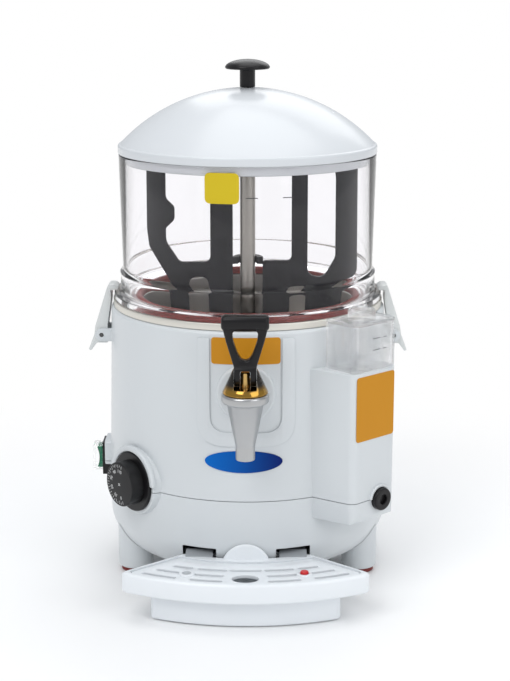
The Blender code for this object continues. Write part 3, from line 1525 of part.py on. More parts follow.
def drip_tray(parent):
    rim_bottom = tray_rim_top - tray_rim_height
    grid_seat = tray_rim_top - grid_boss_height - grid_thickness
    rear_deck = tray_rear_radius + tray_deck_width
    tray = slab("drip_tray", tray_outline(0, tray_rear_radius), rim_bottom, tray_rim_top,
                white_plastic, parent)

    base = slab("drip_tray_base", tray_outline(tray_base_inset, tray_rear_radius + tray_base_rear_inset),
                tray_base_bottom, rim_bottom + tray_rim_floor / 2, white_plastic, parent)
    tongue_high = tray_rim_top + tongue_rise
    wall_out = -math.sqrt((casing_radius - casing_wall) ** 2 - (tongue_x - tongue_half_width) ** 2)
    tongue_end = wall_out + tongue_inside
    ramp_foot = -math.sqrt(rear_deck ** 2 - (tongue_x + tongue_half_width) ** 2) + gap
    ramp_top = -math.sqrt(tray_rear_radius ** 2 - (tongue_x + tongue_half_width) ** 2) + tongue_rise
    tongue_view = [(ramp_foot, tray_rim_top), (ramp_foot, tray_rim_top - tongue_thickness),
                   (ramp_top, tray_rim_top - tongue_thickness),
                   (ramp_top, tongue_high - tongue_thickness), (tongue_end, tongue_high - tongue_thickness),
                   (tongue_end, tongue_high), (ramp_top, tongue_high)]
    tab_angle = math.degrees(math.asin((tray_rim_top - tray_rim_floor - tab_top + tab_radius) / tab_radius))
    tab_outline = arc((0, tab_top - tab_radius), tab_radius, tab_angle, 180 - tab_angle, mid_steps)
    tab = slab("drip_tray_tab", tab_outline, tray_rear_radius, tray_rear_radius + tab_thickness,
               white_plastic, parent, turn=upright)
    ledge_rear = rear_deck + tray_ledge_width
    basin_rear = max(tray_rear_radius + tray_base_rear_inset + tray_base_wall, ledge_rear)
    basin = slab("drip_tray_basin", tray_outline(tray_base_inset + tray_base_wall, basin_rear + gap),
                 tray_base_bottom + tray_floor, tray_rim_top - tray_rim_wall, white_plastic, parent)
    well = slab("drip_tray_well", tray_outline(tray_rim_wall + tray_ledge_width, ledge_rear),
                rim_bottom + tray_rim_floor, tray_rim_top + overrun, white_plastic, parent)
    seat = slab("drip_tray_seat", tray_outline(tray_rim_wall, rear_deck), grid_seat - gap,
                tray_rim_top + overrun, white_plastic, parent)
    join(tray, base)
    cut(tray, basin, well, seat)
    for side, name in ((-1, "left"), (1, "right")):
        tongue = slab(f"drip_tray_{name}_tongue", tongue_view, side * tongue_x - tongue_half_width,
                      side * tongue_x + tongue_half_width, white_plastic, parent, turn=sideways)
        join(tray, tongue)
    join(tray, tab)
    return tray


def drip_grid(parent):
    low = tray_rim_top - grid_boss_height - grid_thickness
    high = low + grid_thickness
    centre_y, radius = tray_arc_centre()
    rear = tray_rear_radius + tray_deck_width + grid_side_clearance
    outline = tray_outline(tray_rim_wall + grid_side_clearance, rear)
    holes = [arc((0, -grid_hole_y), grid_hole_radius, 0, 345, 23)]
    half = grid_slot_width / 2

    def slot(inset, first, last):
        middle = radius * (1 - inset)
        start = math.degrees(math.asin(first * radius / middle)) - 90
        end = math.degrees(math.asin(last * radius / middle)) - 90
        outer = arc((0, centre_y), middle + half, start, end, curve_steps)
        inner = arc((0, centre_y), middle - half, end, start, curve_steps)
        return outer + inner

    for inset, spans in zip(grid_arc_inset_shares, grid_slot_span_shares):
        for first, last in spans:
            holes.append(slot(inset, first, last))
            holes.append(slot(inset, -last, -first))
    holes.append(slot(grid_arc_inset_shares[-1], -grid_centre_span_share, grid_centre_span_share))
    float_hole = float_pin_radius + float_hole_clearance
    grid = slab("drip_grid", outline, low, high, white_plastic, parent, holes=holes)
    for side, name in ((-1, "left"), (1, "right")):
        boss_low = low + grid_thickness / 2
        boss_high = high + grid_boss_height
        boss = turned(f"drip_grid_{name}_boss",
                      [(0, boss_low), (grid_boss_radius, boss_low), (grid_boss_radius, high),
                       (grid_boss_radius - grid_boss_height, boss_high), (0, boss_high)],
                      white_plastic, parent, mid_steps)
        hole = turned(f"drip_grid_{name}_hole", rod(float_hole, low - overrun, high + overrun),
                      white_plastic, parent, small_steps)
        boss.location = (side * float_x, -float_y, 0)
        hole.location = (side * float_x, -float_y, 0)
        join(grid, boss)
        cut(grid, hole)
    return grid


def tray_float(parent):
    low = tray_rim_top - tray_rim_height + tray_rim_floor + gap
    top = tray_rim_top + float_pin_above_grid
    disc_top = low + float_disc_height
    edge = float_pin_radius / 3
    profile = [(0, low), (float_disc_radius, low), (float_disc_radius, disc_top),
               (float_pin_radius, disc_top), (float_pin_radius, top - edge),
               (float_pin_radius - edge, top), (0, top)]
    piece = turned("tray_float", profile, red_plastic, parent, small_steps)
    piece.location = (float_x, -float_y, 0)
    return piece


def cable_gland(parent):
    face = casing_radius + gap
    flange = gland_flange_thickness
    tail = casing_wall + gland_tail_length
    profile = [(gland_bore_radius, -tail), (gland_radius, -tail), (gland_radius, 0),
               (gland_flange_radius, 0), (gland_flange_radius, flange), (gland_radius, flange),
               (gland_tip_radius, flange + gland_length), (gland_bore_radius, flange + gland_length)]
    gland = turned("cable_gland", profile, black_plastic, parent, small_steps)
    return facing_out(gland, face, gland_height, 180)


def build():
    clear_scene()
    machine = empty("machine", (0, machine_y, 0))
    upper_casing(machine)
    lower_casing(machine)
    legs_and_feet(machine)
    bath_tank(machine)
    heating_element(machine)
    bowl_dish(machine)
    bowl_gasket(machine)
    bowl(machine)
    lid(machine)
    lid_knob(machine)
    lid_knob_screw(machine)
    drive(machine)
    mixer(machine)
    tap_body(machine)
    tap_bonnet(machine)
    tap_plunger(machine)
    tap_spring(machine)
    tap_lever(machine)
    latch("left", -1, machine)
    latch("right", 1, machine)
    thermostat(machine)
    power_switch(machine)
    drain(machine)
    water_reservoir(machine)
    drip_tray(machine)
    drip_grid(machine)
    tray_float(machine)
    cable_gland(machine)


build()
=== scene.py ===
import math

import bmesh
import bpy
from mathutils import Matrix, Vector


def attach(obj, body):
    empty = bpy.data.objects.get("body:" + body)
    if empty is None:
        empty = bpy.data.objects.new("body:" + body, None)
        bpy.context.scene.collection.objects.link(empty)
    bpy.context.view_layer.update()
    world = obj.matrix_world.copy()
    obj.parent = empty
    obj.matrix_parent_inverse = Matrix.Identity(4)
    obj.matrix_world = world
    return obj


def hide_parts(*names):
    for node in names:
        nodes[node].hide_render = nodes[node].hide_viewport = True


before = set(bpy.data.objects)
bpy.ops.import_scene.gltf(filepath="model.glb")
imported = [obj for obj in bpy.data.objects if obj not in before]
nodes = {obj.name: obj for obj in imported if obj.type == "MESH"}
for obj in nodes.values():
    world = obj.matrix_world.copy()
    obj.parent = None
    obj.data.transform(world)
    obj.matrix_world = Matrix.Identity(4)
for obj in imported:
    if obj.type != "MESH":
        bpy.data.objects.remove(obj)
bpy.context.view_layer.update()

# Everything round stands about one axis; the front is -y, and the tap hangs in front of the casing.
place = {
    "axisY": 0.02505, "tapReach": 0.160, "fit": 0.0003, "podTurn": 43, "dialTurn": -50,
    "casingTop": 0.2447, "casingTopRadius": 0.125, "casingRadius": 0.1286, "seam": 0.0953,
    "bowlFoot": 0.2513, "bowlTop": 0.3825, "outlet": 0.192,
    "past": 0.004,  # how far a cutting tool stands past the face that it cuts
}
axisY = place["axisY"]
tapY = axisY - place["tapReach"]
up = Vector((0, 0, 1))


# Drawing, cutting and finishing
def leaveEdit():
    if bpy.context.object and bpy.context.object.mode != "OBJECT":
        bpy.ops.object.mode_set(mode="OBJECT")


def pickOnly(piece):
    leaveEdit()
    bpy.ops.object.select_all(action="DESELECT")
    piece.select_set(True)
    bpy.context.view_layer.objects.active = piece


def startPoint(name, spot):
    # a small plane merged to one point is where a drawn line begins
    leaveEdit()
    bpy.ops.object.select_all(action="DESELECT")
    bpy.ops.mesh.primitive_plane_add(size=0.01, location=spot)
    piece = bpy.context.object
    piece.name = piece.data.name = name
    bpy.ops.object.transform_apply(location=True, rotation=True, scale=True)
    bpy.ops.object.mode_set(mode="EDIT")
    bpy.ops.mesh.select_all(action="SELECT")
    bpy.ops.mesh.merge(type="CENTER")
    return piece


def drawOn(points):
    for before, after in zip(points, points[1:]):
        step = Vector(after) - Vector(before)
        bpy.ops.mesh.extrude_vertices_move(TRANSFORM_OT_translate={"value": tuple(step)})


def tidyMesh(doubles=0.000005):
    bpy.ops.mesh.select_all(action="SELECT")
    bpy.ops.mesh.remove_doubles(threshold=doubles)
    bpy.ops.mesh.normals_make_consistent(inside=False)


def spun(name, profile, steps, origin=(0, 0, 0), axis=up, closed=False):
    # a side view of (radius, height) pairs is drawn and spun round the axis
    axis = Vector(axis).normalized()
    across = axis.orthogonal().normalized() if abs(axis.z) < 0.9 else Vector((1, 0, 0))
    origin = Vector(origin)
    points = [origin + across * radius + axis * height for radius, height in profile]
    if closed:
        points.append(points[0])
    piece = startPoint(name, points[0])
    drawOn(points)
    bpy.ops.mesh.select_all(action="SELECT")
    bpy.ops.mesh.spin(steps=steps, angle=math.tau, center=origin, axis=axis)
    tidyMesh()
    leaveEdit()
    return piece


def plate(name, outline, depth, holes=(), origin=(0, 0, 0), right=(1, 0, 0), upward=(0, 0, 1)):
    # an outline with holes is drawn, filled and extruded by depth away from right x upward
    right, upward, origin = Vector(right), Vector(upward), Vector(origin)
    loops = [[origin + right * across + upward * along for across, along in loop]
             for loop in (outline, *holes)]
    piece = startPoint(name, loops[0][0])
    for number, loop in enumerate(loops):
        if number:
            bpy.ops.mesh.select_all(action="DESELECT")
            bpy.ops.mesh.primitive_plane_add(size=0.01, location=loop[0])
            bpy.ops.mesh.merge(type="CENTER")
        drawOn(loop + loop[:1])
    tidyMesh()
    if holes:
        bpy.ops.mesh.fill(use_beauty=True)
    else:
        bpy.ops.mesh.edge_face_add()
    bpy.ops.mesh.select_all(action="SELECT")
    shift = right.cross(upward) * -depth
    bpy.ops.mesh.extrude_region_move(TRANSFORM_OT_translate={"value": tuple(shift)})
    tidyMesh()
    leaveEdit()
    return piece


def applied(piece, kind, **values):
    pickOnly(piece)
    modifier = piece.modifiers.new(kind.title(), kind)
    for key, value in values.items():
        setattr(modifier, key, value)
    bpy.ops.object.modifier_apply(modifier=modifier.name)
    return piece


def combined(piece, tool, operation):
    applied(piece, "BOOLEAN", operation=operation, solver="EXACT", object=tool)
    applied(piece, "WELD", merge_threshold=0.00001)
    bpy.data.objects.remove(tool)
    return piece


def added(piece, tool):
    return combined(piece, tool, "UNION")


def cut(piece, tool):
    return combined(piece, tool, "DIFFERENCE")


def softened(piece, width, segments=2, angle=32):
    applied(piece, "BEVEL", width=width, segments=segments, limit_method="ANGLE",
            angle_limit=math.radians(angle), use_clamp_overlap=True, harden_normals=False)
    return applied(piece, "WELD", merge_threshold=0.00001)


def cushioned(piece, direction, steps):
    # the faces that look one way are inset and raised a few times, which rounds their border
    direction = Vector(direction)
    pickOnly(piece)
    bpy.ops.object.mode_set(mode="EDIT")
    bpy.ops.mesh.select_mode(type="FACE")
    bpy.ops.mesh.select_all(action="DESELECT")
    sheet = bmesh.from_edit_mesh(piece.data)
    sheet.normal_update()
    for face in sheet.faces:
        if face.normal.dot(direction) > 0.95:
            face.select = True
    bmesh.update_edit_mesh(piece.data)
    for inward, raised in steps:
        bpy.ops.mesh.inset(thickness=inward, depth=raised)
    bpy.ops.mesh.select_mode(type="VERT")
    leaveEdit()
    return piece


def finished(piece, body, finish, replaced=(), angle=32):
    # the piece gets its finish, smooth shading up to a crease and its body, and the CAD nodes it replaces are
    # hidden
    pickOnly(piece)
    piece.data.materials.clear()
    piece.data.materials.append(finishes[finish])
    bpy.ops.object.shade_smooth_by_angle(angle=math.radians(angle))
    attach(piece, body)
    if replaced:
        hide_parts(*replaced)
    return piece


def bow(centre, radius, start, end, steps):
    turns = [math.radians(start + (end - start) * step / steps) for step in range(steps + 1)]
    return [(centre[0] + radius * math.cos(turn), centre[1] + radius * math.sin(turn)) for turn in turns]


def shoulder(radius, top, edge, steps):
    # the rounded upper outer corner of a turned profile
    return bow((radius - edge, top - edge), edge, 0, 90, steps)


def heel(radius, low, edge, steps):
    # the rounded lower outer corner of a turned profile
    return bow((radius - edge, low + edge), edge, -90, 0, steps)


def rod(name, radius, low, high, steps, origin=(0, 0, 0), axis=up):
    # a plain round bar along the axis, mostly a tool that drills a hole
    return spun(name, [(0, low), (radius, low), (radius, high), (0, high)], steps, origin, axis)


def rounded(corners, steps=6):
    # each corner is (across, along, radius); a curve that touches both sides takes its place
    points = []
    for index, (across, along, radius) in enumerate(corners):
        here = Vector((across, along))
        if not radius:
            points.append((across, along))
            continue
        back = (Vector(corners[index - 1][:2]) - here).normalized()
        ahead = (Vector(corners[(index + 1) % len(corners)][:2]) - here).normalized()
        reach = radius / math.tan(back.angle(ahead) / 2)
        start, end = here + back * reach, here + ahead * reach
        for step in range(steps + 1):
            share = step / steps
            spot = start * (1 - share) ** 2 + here * 2 * share * (1 - share) + end * share ** 2
            points.append((spot.x, spot.y))
    return points


def roundedBox(halfWidth, low, high, radius, steps=6):
    return rounded([(-halfWidth, low, radius), (halfWidth, low, radius),
                    (halfWidth, high, radius), (-halfWidth, high, radius)], steps)


def outward(azimuth):
    # the direction out of the casing, seen from the bowl's axis, and the one along it to the right
    turn = math.radians(azimuth)
    return Vector((math.sin(turn), -math.cos(turn), 0)), Vector((math.cos(turn), math.sin(turn), 0))


def onCasing(azimuth, reach, height, offset=0.0):
    out, along = outward(azimuth)
    return Vector((0, axisY, height)) + out * reach + along * offset


def casingRadiusAt(height):
    share = max(0.0, (height - place["seam"]) / (place["casingTop"] - place["seam"]))
    return place["casingRadius"] + (place["casingTopRadius"] - place["casingRadius"]) * share


# Finishes
def newFinish(name, colour, roughness, **sockets):
    material = bpy.data.materials.new(name)
    material.use_nodes = True
    shader = material.node_tree.nodes["Principled BSDF"]
    shader.inputs["Base Color"].default_value = (*colour, 1)
    shader.inputs["Roughness"].default_value = roughness
    for socket, value in sockets.items():
        shader.inputs[socket.replace("_", " ")].default_value = value
    material.diffuse_color = (*colour, 1)
    return material


def addNode(material, kind, **values):
    node = material.node_tree.nodes.new(kind)
    for key, value in values.items():
        if key in node.inputs:
            node.inputs[key].default_value = value
        else:
            setattr(node, key, value)
    return node


def join(material, start, end):
    material.node_tree.links.new(start, end)


def noiseOf(material, scale, detail=3.0, stretch=(1, 1, 1)):
    # fine noise on the object's own coordinates, stretched for drawn or brushed metal
    spot = addNode(material, "ShaderNodeTexCoord")
    mapping = addNode(material, "ShaderNodeMapping")
    mapping.inputs["Scale"].default_value = stretch
    noise = addNode(material, "ShaderNodeTexNoise", Scale=scale, Detail=detail)
    join(material, spot.outputs["Object"], mapping.inputs["Vector"])
    join(material, mapping.outputs["Vector"], noise.inputs["Vector"])
    return noise.outputs["Fac"]


def varyRoughness(material, source, low, high):
    spread = addNode(material, "ShaderNodeMapRange")
    spread.inputs["To Min"].default_value = low
    spread.inputs["To Max"].default_value = high
    join(material, source, spread.inputs["Value"])
    join(material, spread.outputs["Result"], material.node_tree.nodes["Principled BSDF"].inputs["Roughness"])


def varyColour(material, source, first, second):
    blend = addNode(material, "ShaderNodeMix", data_type="RGBA")
    blend.inputs[6].default_value = (*first, 1)
    blend.inputs[7].default_value = (*second, 1)
    join(material, source, blend.inputs[0])
    join(material, blend.outputs[2], material.node_tree.nodes["Principled BSDF"].inputs["Base Color"])


def fadeAlong(material, axis, start, end, first, second):
    # the colour goes from the first to the second between two places on the object
    spot = addNode(material, "ShaderNodeTexCoord")
    parts = addNode(material, "ShaderNodeSeparateXYZ")
    share = addNode(material, "ShaderNodeMapRange")
    share.inputs["From Min"].default_value = start
    share.inputs["From Max"].default_value = end
    join(material, spot.outputs["Object"], parts.inputs["Vector"])
    join(material, parts.outputs[axis], share.inputs["Value"])
    varyColour(material, share.outputs["Result"], first, second)


def roughen(material, source, strength, distance):
    bump = addNode(material, "ShaderNodeBump", Strength=strength, Distance=distance)
    join(material, source, bump.inputs["Height"])
    join(material, bump.outputs["Normal"], material.node_tree.nodes["Principled BSDF"].inputs["Normal"])


def mouldedPlastic(name, colour, deeper, roughness, grain=900, strength=0.12, coat=0.0, shine=0.5):
    # two close tones, slightly uneven gloss and a fine grain
    material = newFinish(name, colour, roughness, Coat_Weight=coat, Coat_Roughness=0.12,
                         Specular_IOR_Level=shine)
    varyColour(material, noiseOf(material, 14, 2.0), colour, deeper)
    varyRoughness(material, noiseOf(material, 60), roughness - 0.01, roughness + 0.02)
    roughen(material, noiseOf(material, grain, 2.0), strength, 0.00012)
    return material


def metal(name, colour, deeper, roughness, stretch, scale, strength=0.08):
    # drawn or turned metal: the same stretched noise guides tone, gloss and grain
    material = newFinish(name, colour, roughness, Metallic=1.0)
    drawn = noiseOf(material, scale, 4.0, stretch)
    varyColour(material, drawn, colour, deeper)
    varyRoughness(material, drawn, roughness - 0.05, roughness + 0.08)
    roughen(material, drawn, strength, 0.00008)
    return material


def clearPlastic(name, colour, roughness, solidity, ior=1.46):
    # a solidity under 1 lets part of the light straight through, as thin clear walls do
    material = newFinish(name, colour, roughness, Transmission_Weight=1.0, IOR=ior, Alpha=solidity)
    varyRoughness(material, noiseOf(material, 25), roughness, roughness + 0.03)
    roughen(material, noiseOf(material, 18, 1.0), 0.03, 0.0005)
    return material


finishes = {
    "casing": mouldedPlastic("white_moulding", (0.655, 0.685, 0.70), (0.635, 0.665, 0.685), 0.33, coat=0.15),
    "lid": mouldedPlastic("white_lid", (0.66, 0.685, 0.71), (0.645, 0.67, 0.695), 0.26, coat=0.1),
    # painted shade: the tongues are the tray's white plastic, coloured grey as they look in the shade inside
    # the casing's windows
    "tongue": mouldedPlastic("painted_shade_white", (0.33, 0.35, 0.37), (0.29, 0.31, 0.33), 0.40),
    "tray": mouldedPlastic("white_tray", (0.82, 0.85, 0.88), (0.80, 0.835, 0.865), 0.30, coat=0.2),
    "latch": mouldedPlastic("grey_white_latch", (0.70, 0.72, 0.71), (0.67, 0.69, 0.685), 0.42),
    "black": mouldedPlastic("black_plastic", (0.0065, 0.006, 0.007), (0.009, 0.0085, 0.0095), 0.30, 1400,
                            0.15, 0, 0.28),
    "mixer": mouldedPlastic("black_frame", (0.014, 0.014, 0.018), (0.019, 0.018, 0.023), 0.45, 1100, 0.2, 0,
                            0.3),
    "dial": mouldedPlastic("black_dial", (0.008, 0.008, 0.009), (0.011, 0.011, 0.012), 0.42, 1600, 0.2, 0,
                           0.28),
    "bowl": clearPlastic("clear_bowl", (0.985, 0.98, 0.995), 0.01, 1.0, 1.28),
    "tank": clearPlastic("clear_reservoir", (0.965, 0.965, 0.975), 0.03, 0.5, 1.4),
    "cover": clearPlastic("clear_cover", (0.97, 0.975, 0.975), 0.05, 0.3),
    "tube": metal("brushed_tube", (0.29, 0.275, 0.25), (0.36, 0.345, 0.32), 0.30, (90, 90, 1.5), 30),
    "dish": metal("spun_dish", (0.55, 0.53, 0.50), (0.63, 0.61, 0.58), 0.32, (4, 4, 120), 20),
    "collar": metal("steel_collar", (0.72, 0.70, 0.64), (0.78, 0.76, 0.71), 0.38, (2, 2, 200), 20),
    "chrome": metal("satin_chrome", (0.47, 0.475, 0.48), (0.49, 0.495, 0.50), 0.30, (1, 1, 6), 30, 0.01),
    # the bonnet's bronze, which gets a painted reflection from the fade by height set below
    "cone": metal("bronze_and_painted_reflection", (0.42, 0.24, 0.05), (0.46, 0.27, 0.06), 0.12, (1, 1, 30), 20, 0.02),
    "brass": metal("turned_brass", (0.66, 0.42, 0.14), (0.74, 0.50, 0.20), 0.28, (2, 2, 200), 20),
    "darkSteel": metal("dark_steel", (0.10, 0.10, 0.10), (0.14, 0.14, 0.14), 0.40, (2, 200, 2), 30),
    "steel": metal("plain_steel", (0.55, 0.55, 0.55), (0.62, 0.62, 0.61), 0.32, (40, 40, 2), 30),
    "paintedSteel": mouldedPlastic("black_painted_steel", (0.05, 0.05, 0.055), (0.07, 0.07, 0.075), 0.5, 500),
    "gasket": mouldedPlastic("red_brown_silicone", (0.24, 0.030, 0.026), (0.28, 0.042, 0.034), 0.55, 700,
                             0.3),
    "foot": mouldedPlastic("dark_red_rubber", (0.16, 0.015, 0.013), (0.20, 0.022, 0.018), 0.6, 700, 0.3),
    "red": mouldedPlastic("red_float", (0.58, 0.008, 0.012), (0.64, 0.015, 0.018), 0.32),
    "green": newFinish("green_lens", (0.0, 0.23, 0.11), 0.25, Transmission_Weight=0.25, IOR=1.49),
    "print": mouldedPlastic("white_print", (0.72, 0.72, 0.72), (0.62, 0.62, 0.62), 0.6),
    "darkPrint": mouldedPlastic("dark_print", (0.02, 0.02, 0.022), (0.035, 0.035, 0.04), 0.6),
    "orange": mouldedPlastic("orange_label", (0.60, 0.26, 0.010), (0.57, 0.24, 0.008), 0.5, 500, 0.08, 0,
                             0.25),
    "yellow": mouldedPlastic("yellow_sticker", (0.62, 0.47, 0.015), (0.59, 0.44, 0.012), 0.45, 500, 0.08, 0,
                             0.25),
    "badge": mouldedPlastic("blue_badge", (0.0, 0.09, 0.46), (0.0, 0.08, 0.42), 0.45, 500, 0.05, 0, 0.12),
}
fadeAlong(finishes["badge"], "X", -0.0335, 0.0335, (0.0, 0.13, 0.52), (0.0, 0.006, 0.12))
# painted reflection: the bronze bonnet is coloured golden low down and nearly black above, by height
fadeAlong(finishes["cone"], "Z", 0.2055, 0.2100, (0.44, 0.25, 0.05), (0.06, 0.055, 0.05))
varyColour(finishes["green"], noiseOf(finishes["green"], 120), (0.0, 0.23, 0.11), (0.0, 0.17, 0.08))
print("finishes ready:", len(finishes))


# Lid and its knob
lidSize = {
    "apex": 0.4400, "rim": 0.1165, "rimHeight": 0.006, "rimEdge": 0.0022, "underEdge": 0.0009,
    "wall": 0.0025, "skirtDepth": 0.0083, "skirtOut": 0.112, "skirtWall": 0.002, "domeRings": 26,
}
knobSize = {
    "bottom": 0.4403, "neck": 0.0069, "neckEdge": 0.0008, "capLow": 0.4563, "capRadius": 0.020,
    "capEdge": 0.0016, "top": 0.4650, "steps": 72,
}


def domeHeight(radius, drop=0.0):
    rise = lidSize["apex"] - place["bowlTop"] - lidSize["rimHeight"]
    ball = (lidSize["rim"] ** 2 + rise ** 2) / (2 * rise)
    return lidSize["apex"] - drop - ball + math.sqrt(ball ** 2 - radius ** 2)


def makeLid():
    size = lidSize
    low = place["bowlTop"] + place["fit"]
    reach = size["rim"] - size["rimEdge"]
    skirtIn = size["skirtOut"] - size["skirtWall"]
    shares = [math.sin(math.pi / 2 * ring / size["domeRings"]) for ring in range(size["domeRings"] + 1)]
    profile = [(reach * share, domeHeight(reach * share)) for share in shares]
    profile += bow((reach, domeHeight(reach) - size["rimEdge"]), size["rimEdge"], 66, 0, 5)
    profile += bow((size["rim"] - size["underEdge"], low + size["underEdge"]), size["underEdge"], 0, -90, 4)
    profile += [(size["skirtOut"], low), (size["skirtOut"], low - size["skirtDepth"] + size["underEdge"])]
    profile += bow((size["skirtOut"] - size["skirtWall"] / 2, low - size["skirtDepth"] + size["underEdge"]),
                   size["skirtWall"] / 2, 0, -180, 6)
    profile += [(skirtIn * share, domeHeight(skirtIn * share, size["wall"])) for share in reversed(shares)]
    lid = spun("lidShell", profile, 144, (0, axisY, 0))
    finished(lid, "lid", "lid", ["lid"])

    size = knobSize
    neck, edge = size["neck"], size["neckEdge"]
    profile = [(0, size["bottom"]), *heel(neck, size["bottom"], edge, 4)]
    profile += bow((neck + 2 * edge, size["capLow"] - 2 * edge), 2 * edge, 180, 90, 4)
    profile += bow((size["capRadius"] - size["capEdge"], size["capLow"] + size["capEdge"]), size["capEdge"],
                   -90, 45, 8)
    crown = size["top"] - size["capLow"] - 1.9 * size["capEdge"]
    crownReach = profile[-1][0]
    for ring in range(1, 13):
        turn = math.radians(18 + 72 * ring / 12)
        profile.append((crownReach * math.cos(turn) / math.cos(math.radians(18)),
                        size["top"] - crown * (1 - math.sin(turn)) / (1 - math.sin(math.radians(18)))))
    knob = spun("lidKnob", profile, size["steps"], (0, axisY, 0))
    finished(knob, "lid", "black", ["lid_knob"], 50)
    print("lid and knob ready")


# Clear bowl
bowlSize = {
    "mouth": 0.1035, "flange": 0.122, "flangeHeight": 0.0059, "skirt": 0.1162, "skirtHeight": 0.0215,
    "foot": 0.1137, "rim": 0.116, "wall": 0.003, "bead": 0.0012, "floor": 0.003, "steps": 160,
}


def makeBowl():
    size = bowlSize
    low, top, bead = place["bowlFoot"], place["bowlTop"], size["bead"]
    flangeTop, skirtTop = low + size["flangeHeight"], low + size["skirtHeight"]
    footIn = size["foot"] - size["wall"]
    profile = [(size["mouth"], low)]
    profile += heel(size["flange"], low, bead, 5)
    profile += shoulder(size["flange"], flangeTop, bead, 5)
    profile += bow((size["skirt"] + 1.5 * bead, flangeTop + 1.5 * bead), 1.5 * bead, -90, -180, 5)
    profile += [(size["skirt"], skirtTop - bead)]
    profile += bow((size["foot"] + bead, skirtTop + 2 * bead), bead * 1.3, -30, 60, 5)
    profile += [(size["foot"] + bead * 0.2, skirtTop + 5 * bead), (size["foot"], skirtTop + 7 * bead)]
    profile += shoulder(size["rim"], top, bead, 5)
    profile += bow((size["rim"] - size["wall"] + bead, top - bead), bead, 90, 180, 5)
    profile += [(footIn, skirtTop)]
    profile += bow((footIn - 4 * bead, low + size["floor"] + 4 * bead), 4 * bead, 0, -90, 8)
    profile += bow((size["mouth"] + bead, low + size["floor"] - bead), bead, 90, 180, 5)
    bowl = spun("clearBowl", profile, size["steps"], (0, axisY, 0), closed=True)
    finished(bowl, "machine", "bowl", ["bowl"], 40)
    print("bowl ready")


# Water bath collar, steel dish with its tube, and the gasket
bathSize = {
    "collarOut": 0.123, "collarTop": 0.251, "plateTop": 0.2462, "sheet": 0.0012, "tank": 0.1042,
    "floor": 0.1512, "corner": 0.010, "tubeHole": 0.0073, "edge": 0.0005,
}
dishSize = {
    "rim": 0.1085, "rimLow": 0.2465, "rimTop": 0.2477, "radius": 0.098, "bottom": 0.1815, "corner": 0.014,
    "sheet": 0.0012, "tube": 0.007, "tubeBore": 0.0055, "tubeTop": 0.3627, "tubeLow": 0.1475,
    "spout": 0.0075, "spoutBore": 0.0063, "spoutEnd": 0.119,
}
gasketSize = {"inner": 0.0968, "outer": 0.1085, "lip": 0.1032, "low": 0.248, "high": 0.251, "lipTop": 0.2543}


def makeBath():
    size = bathSize
    edge, sheet = size["edge"], size["sheet"]
    low = place["casingTop"] + place["fit"]
    corner = (size["tank"] - size["corner"], size["floor"] + size["corner"])
    profile = heel(size["collarOut"], low, edge, 3)
    profile += shoulder(size["collarOut"], size["collarTop"], edge, 3)
    profile += [(size["collarOut"] - sheet, size["collarTop"]), (size["collarOut"] - sheet, size["plateTop"]),
                (size["tank"] - sheet, size["plateTop"])]
    profile += bow(corner, size["corner"] - sheet, 0, -90, 6)
    profile += [(size["tubeHole"], size["floor"] + sheet), (size["tubeHole"], size["floor"])]
    profile += bow(corner, size["corner"], -90, 0, 6)
    profile += [(size["tank"], low)]
    bath = spun("bathCollar", profile, 128, (0, axisY, 0), closed=True)
    finished(bath, "machine", "collar", ["bath_tank"])

    size = dishSize
    sheet = size["sheet"]
    corner = (size["radius"] - size["corner"], size["bottom"] + size["corner"])
    profile = [(size["rim"], size["rimLow"]), (size["rim"], size["rimTop"]),
               *bow((size["radius"] + 0.5 * sheet, size["rimTop"] - 1.5 * sheet), 1.5 * sheet, 90, 180, 4),
               *bow(corner, size["corner"] - sheet, 0, -90, 8), (size["tube"], size["bottom"] + sheet),
               (size["tube"], size["bottom"]), *bow(corner, size["corner"], -90, 0, 8),
               (size["radius"], size["rimLow"])]
    dish = spun("steelDish", profile, 128, (0, axisY, 0), closed=True)
    finished(dish, "machine", "dish", ["inner_dish"])

    wall = size["tube"] - size["tubeBore"]
    profile = [(size["tubeBore"], size["tubeLow"]), (size["tube"], size["tubeLow"]),
               *bow((size["tube"] - wall / 2, size["tubeTop"] - wall / 2), wall / 2, 0, 180, 6)]
    tube = spun("centreTube", profile, 64, (0, axisY, 0), closed=True)
    finished(tube, "machine", "tube", ["inner_dish"])

    out, along = outward(0)
    start = size["radius"] - sheet / 2
    profile = [(size["spoutBore"], 0), (size["spout"], 0), (size["spout"], size["spoutEnd"] - start),
               (size["spoutBore"], size["spoutEnd"] - start)]
    spout = spun("dishOutlet", profile, 32, onCasing(0, start, place["outlet"]), out, closed=True)
    finished(spout, "machine", "steel", ["inner_dish"])

    size = gasketSize
    lipRound = (size["lip"] - size["inner"]) / 2
    profile = [(size["inner"], size["low"]), (size["outer"], size["low"]), (size["outer"], size["high"]),
               (size["lip"], size["high"]),
               *bow((size["inner"] + lipRound, size["lipTop"] - lipRound), lipRound, 0, 180, 10)]
    gasket = spun("dishGasket", profile, 128, (0, axisY, 0), closed=True)
    finished(gasket, "machine", "gasket", ["bowl_gasket"])
    print("bath, dish, tube and gasket ready")


# Stirring frame: places across are shares of its reach, places up are shares of its height
mixerSize = {
    "reach": 0.1008, "bottom": 0.190, "height": 0.186, "thickness": 0.004, "edge": 0.0007,
    "slotHalf": 0.0137, "barLow": 0.946, "bridge": 0.488, "hub": 0.011, "hubLow": 0.3667, "hubTop": 0.3987,
    "bore": 0.0043, "ring": 0.0142, "ringBore": 0.0082, "ringLow": 0.2775, "ringHeight": 0.0065,
}
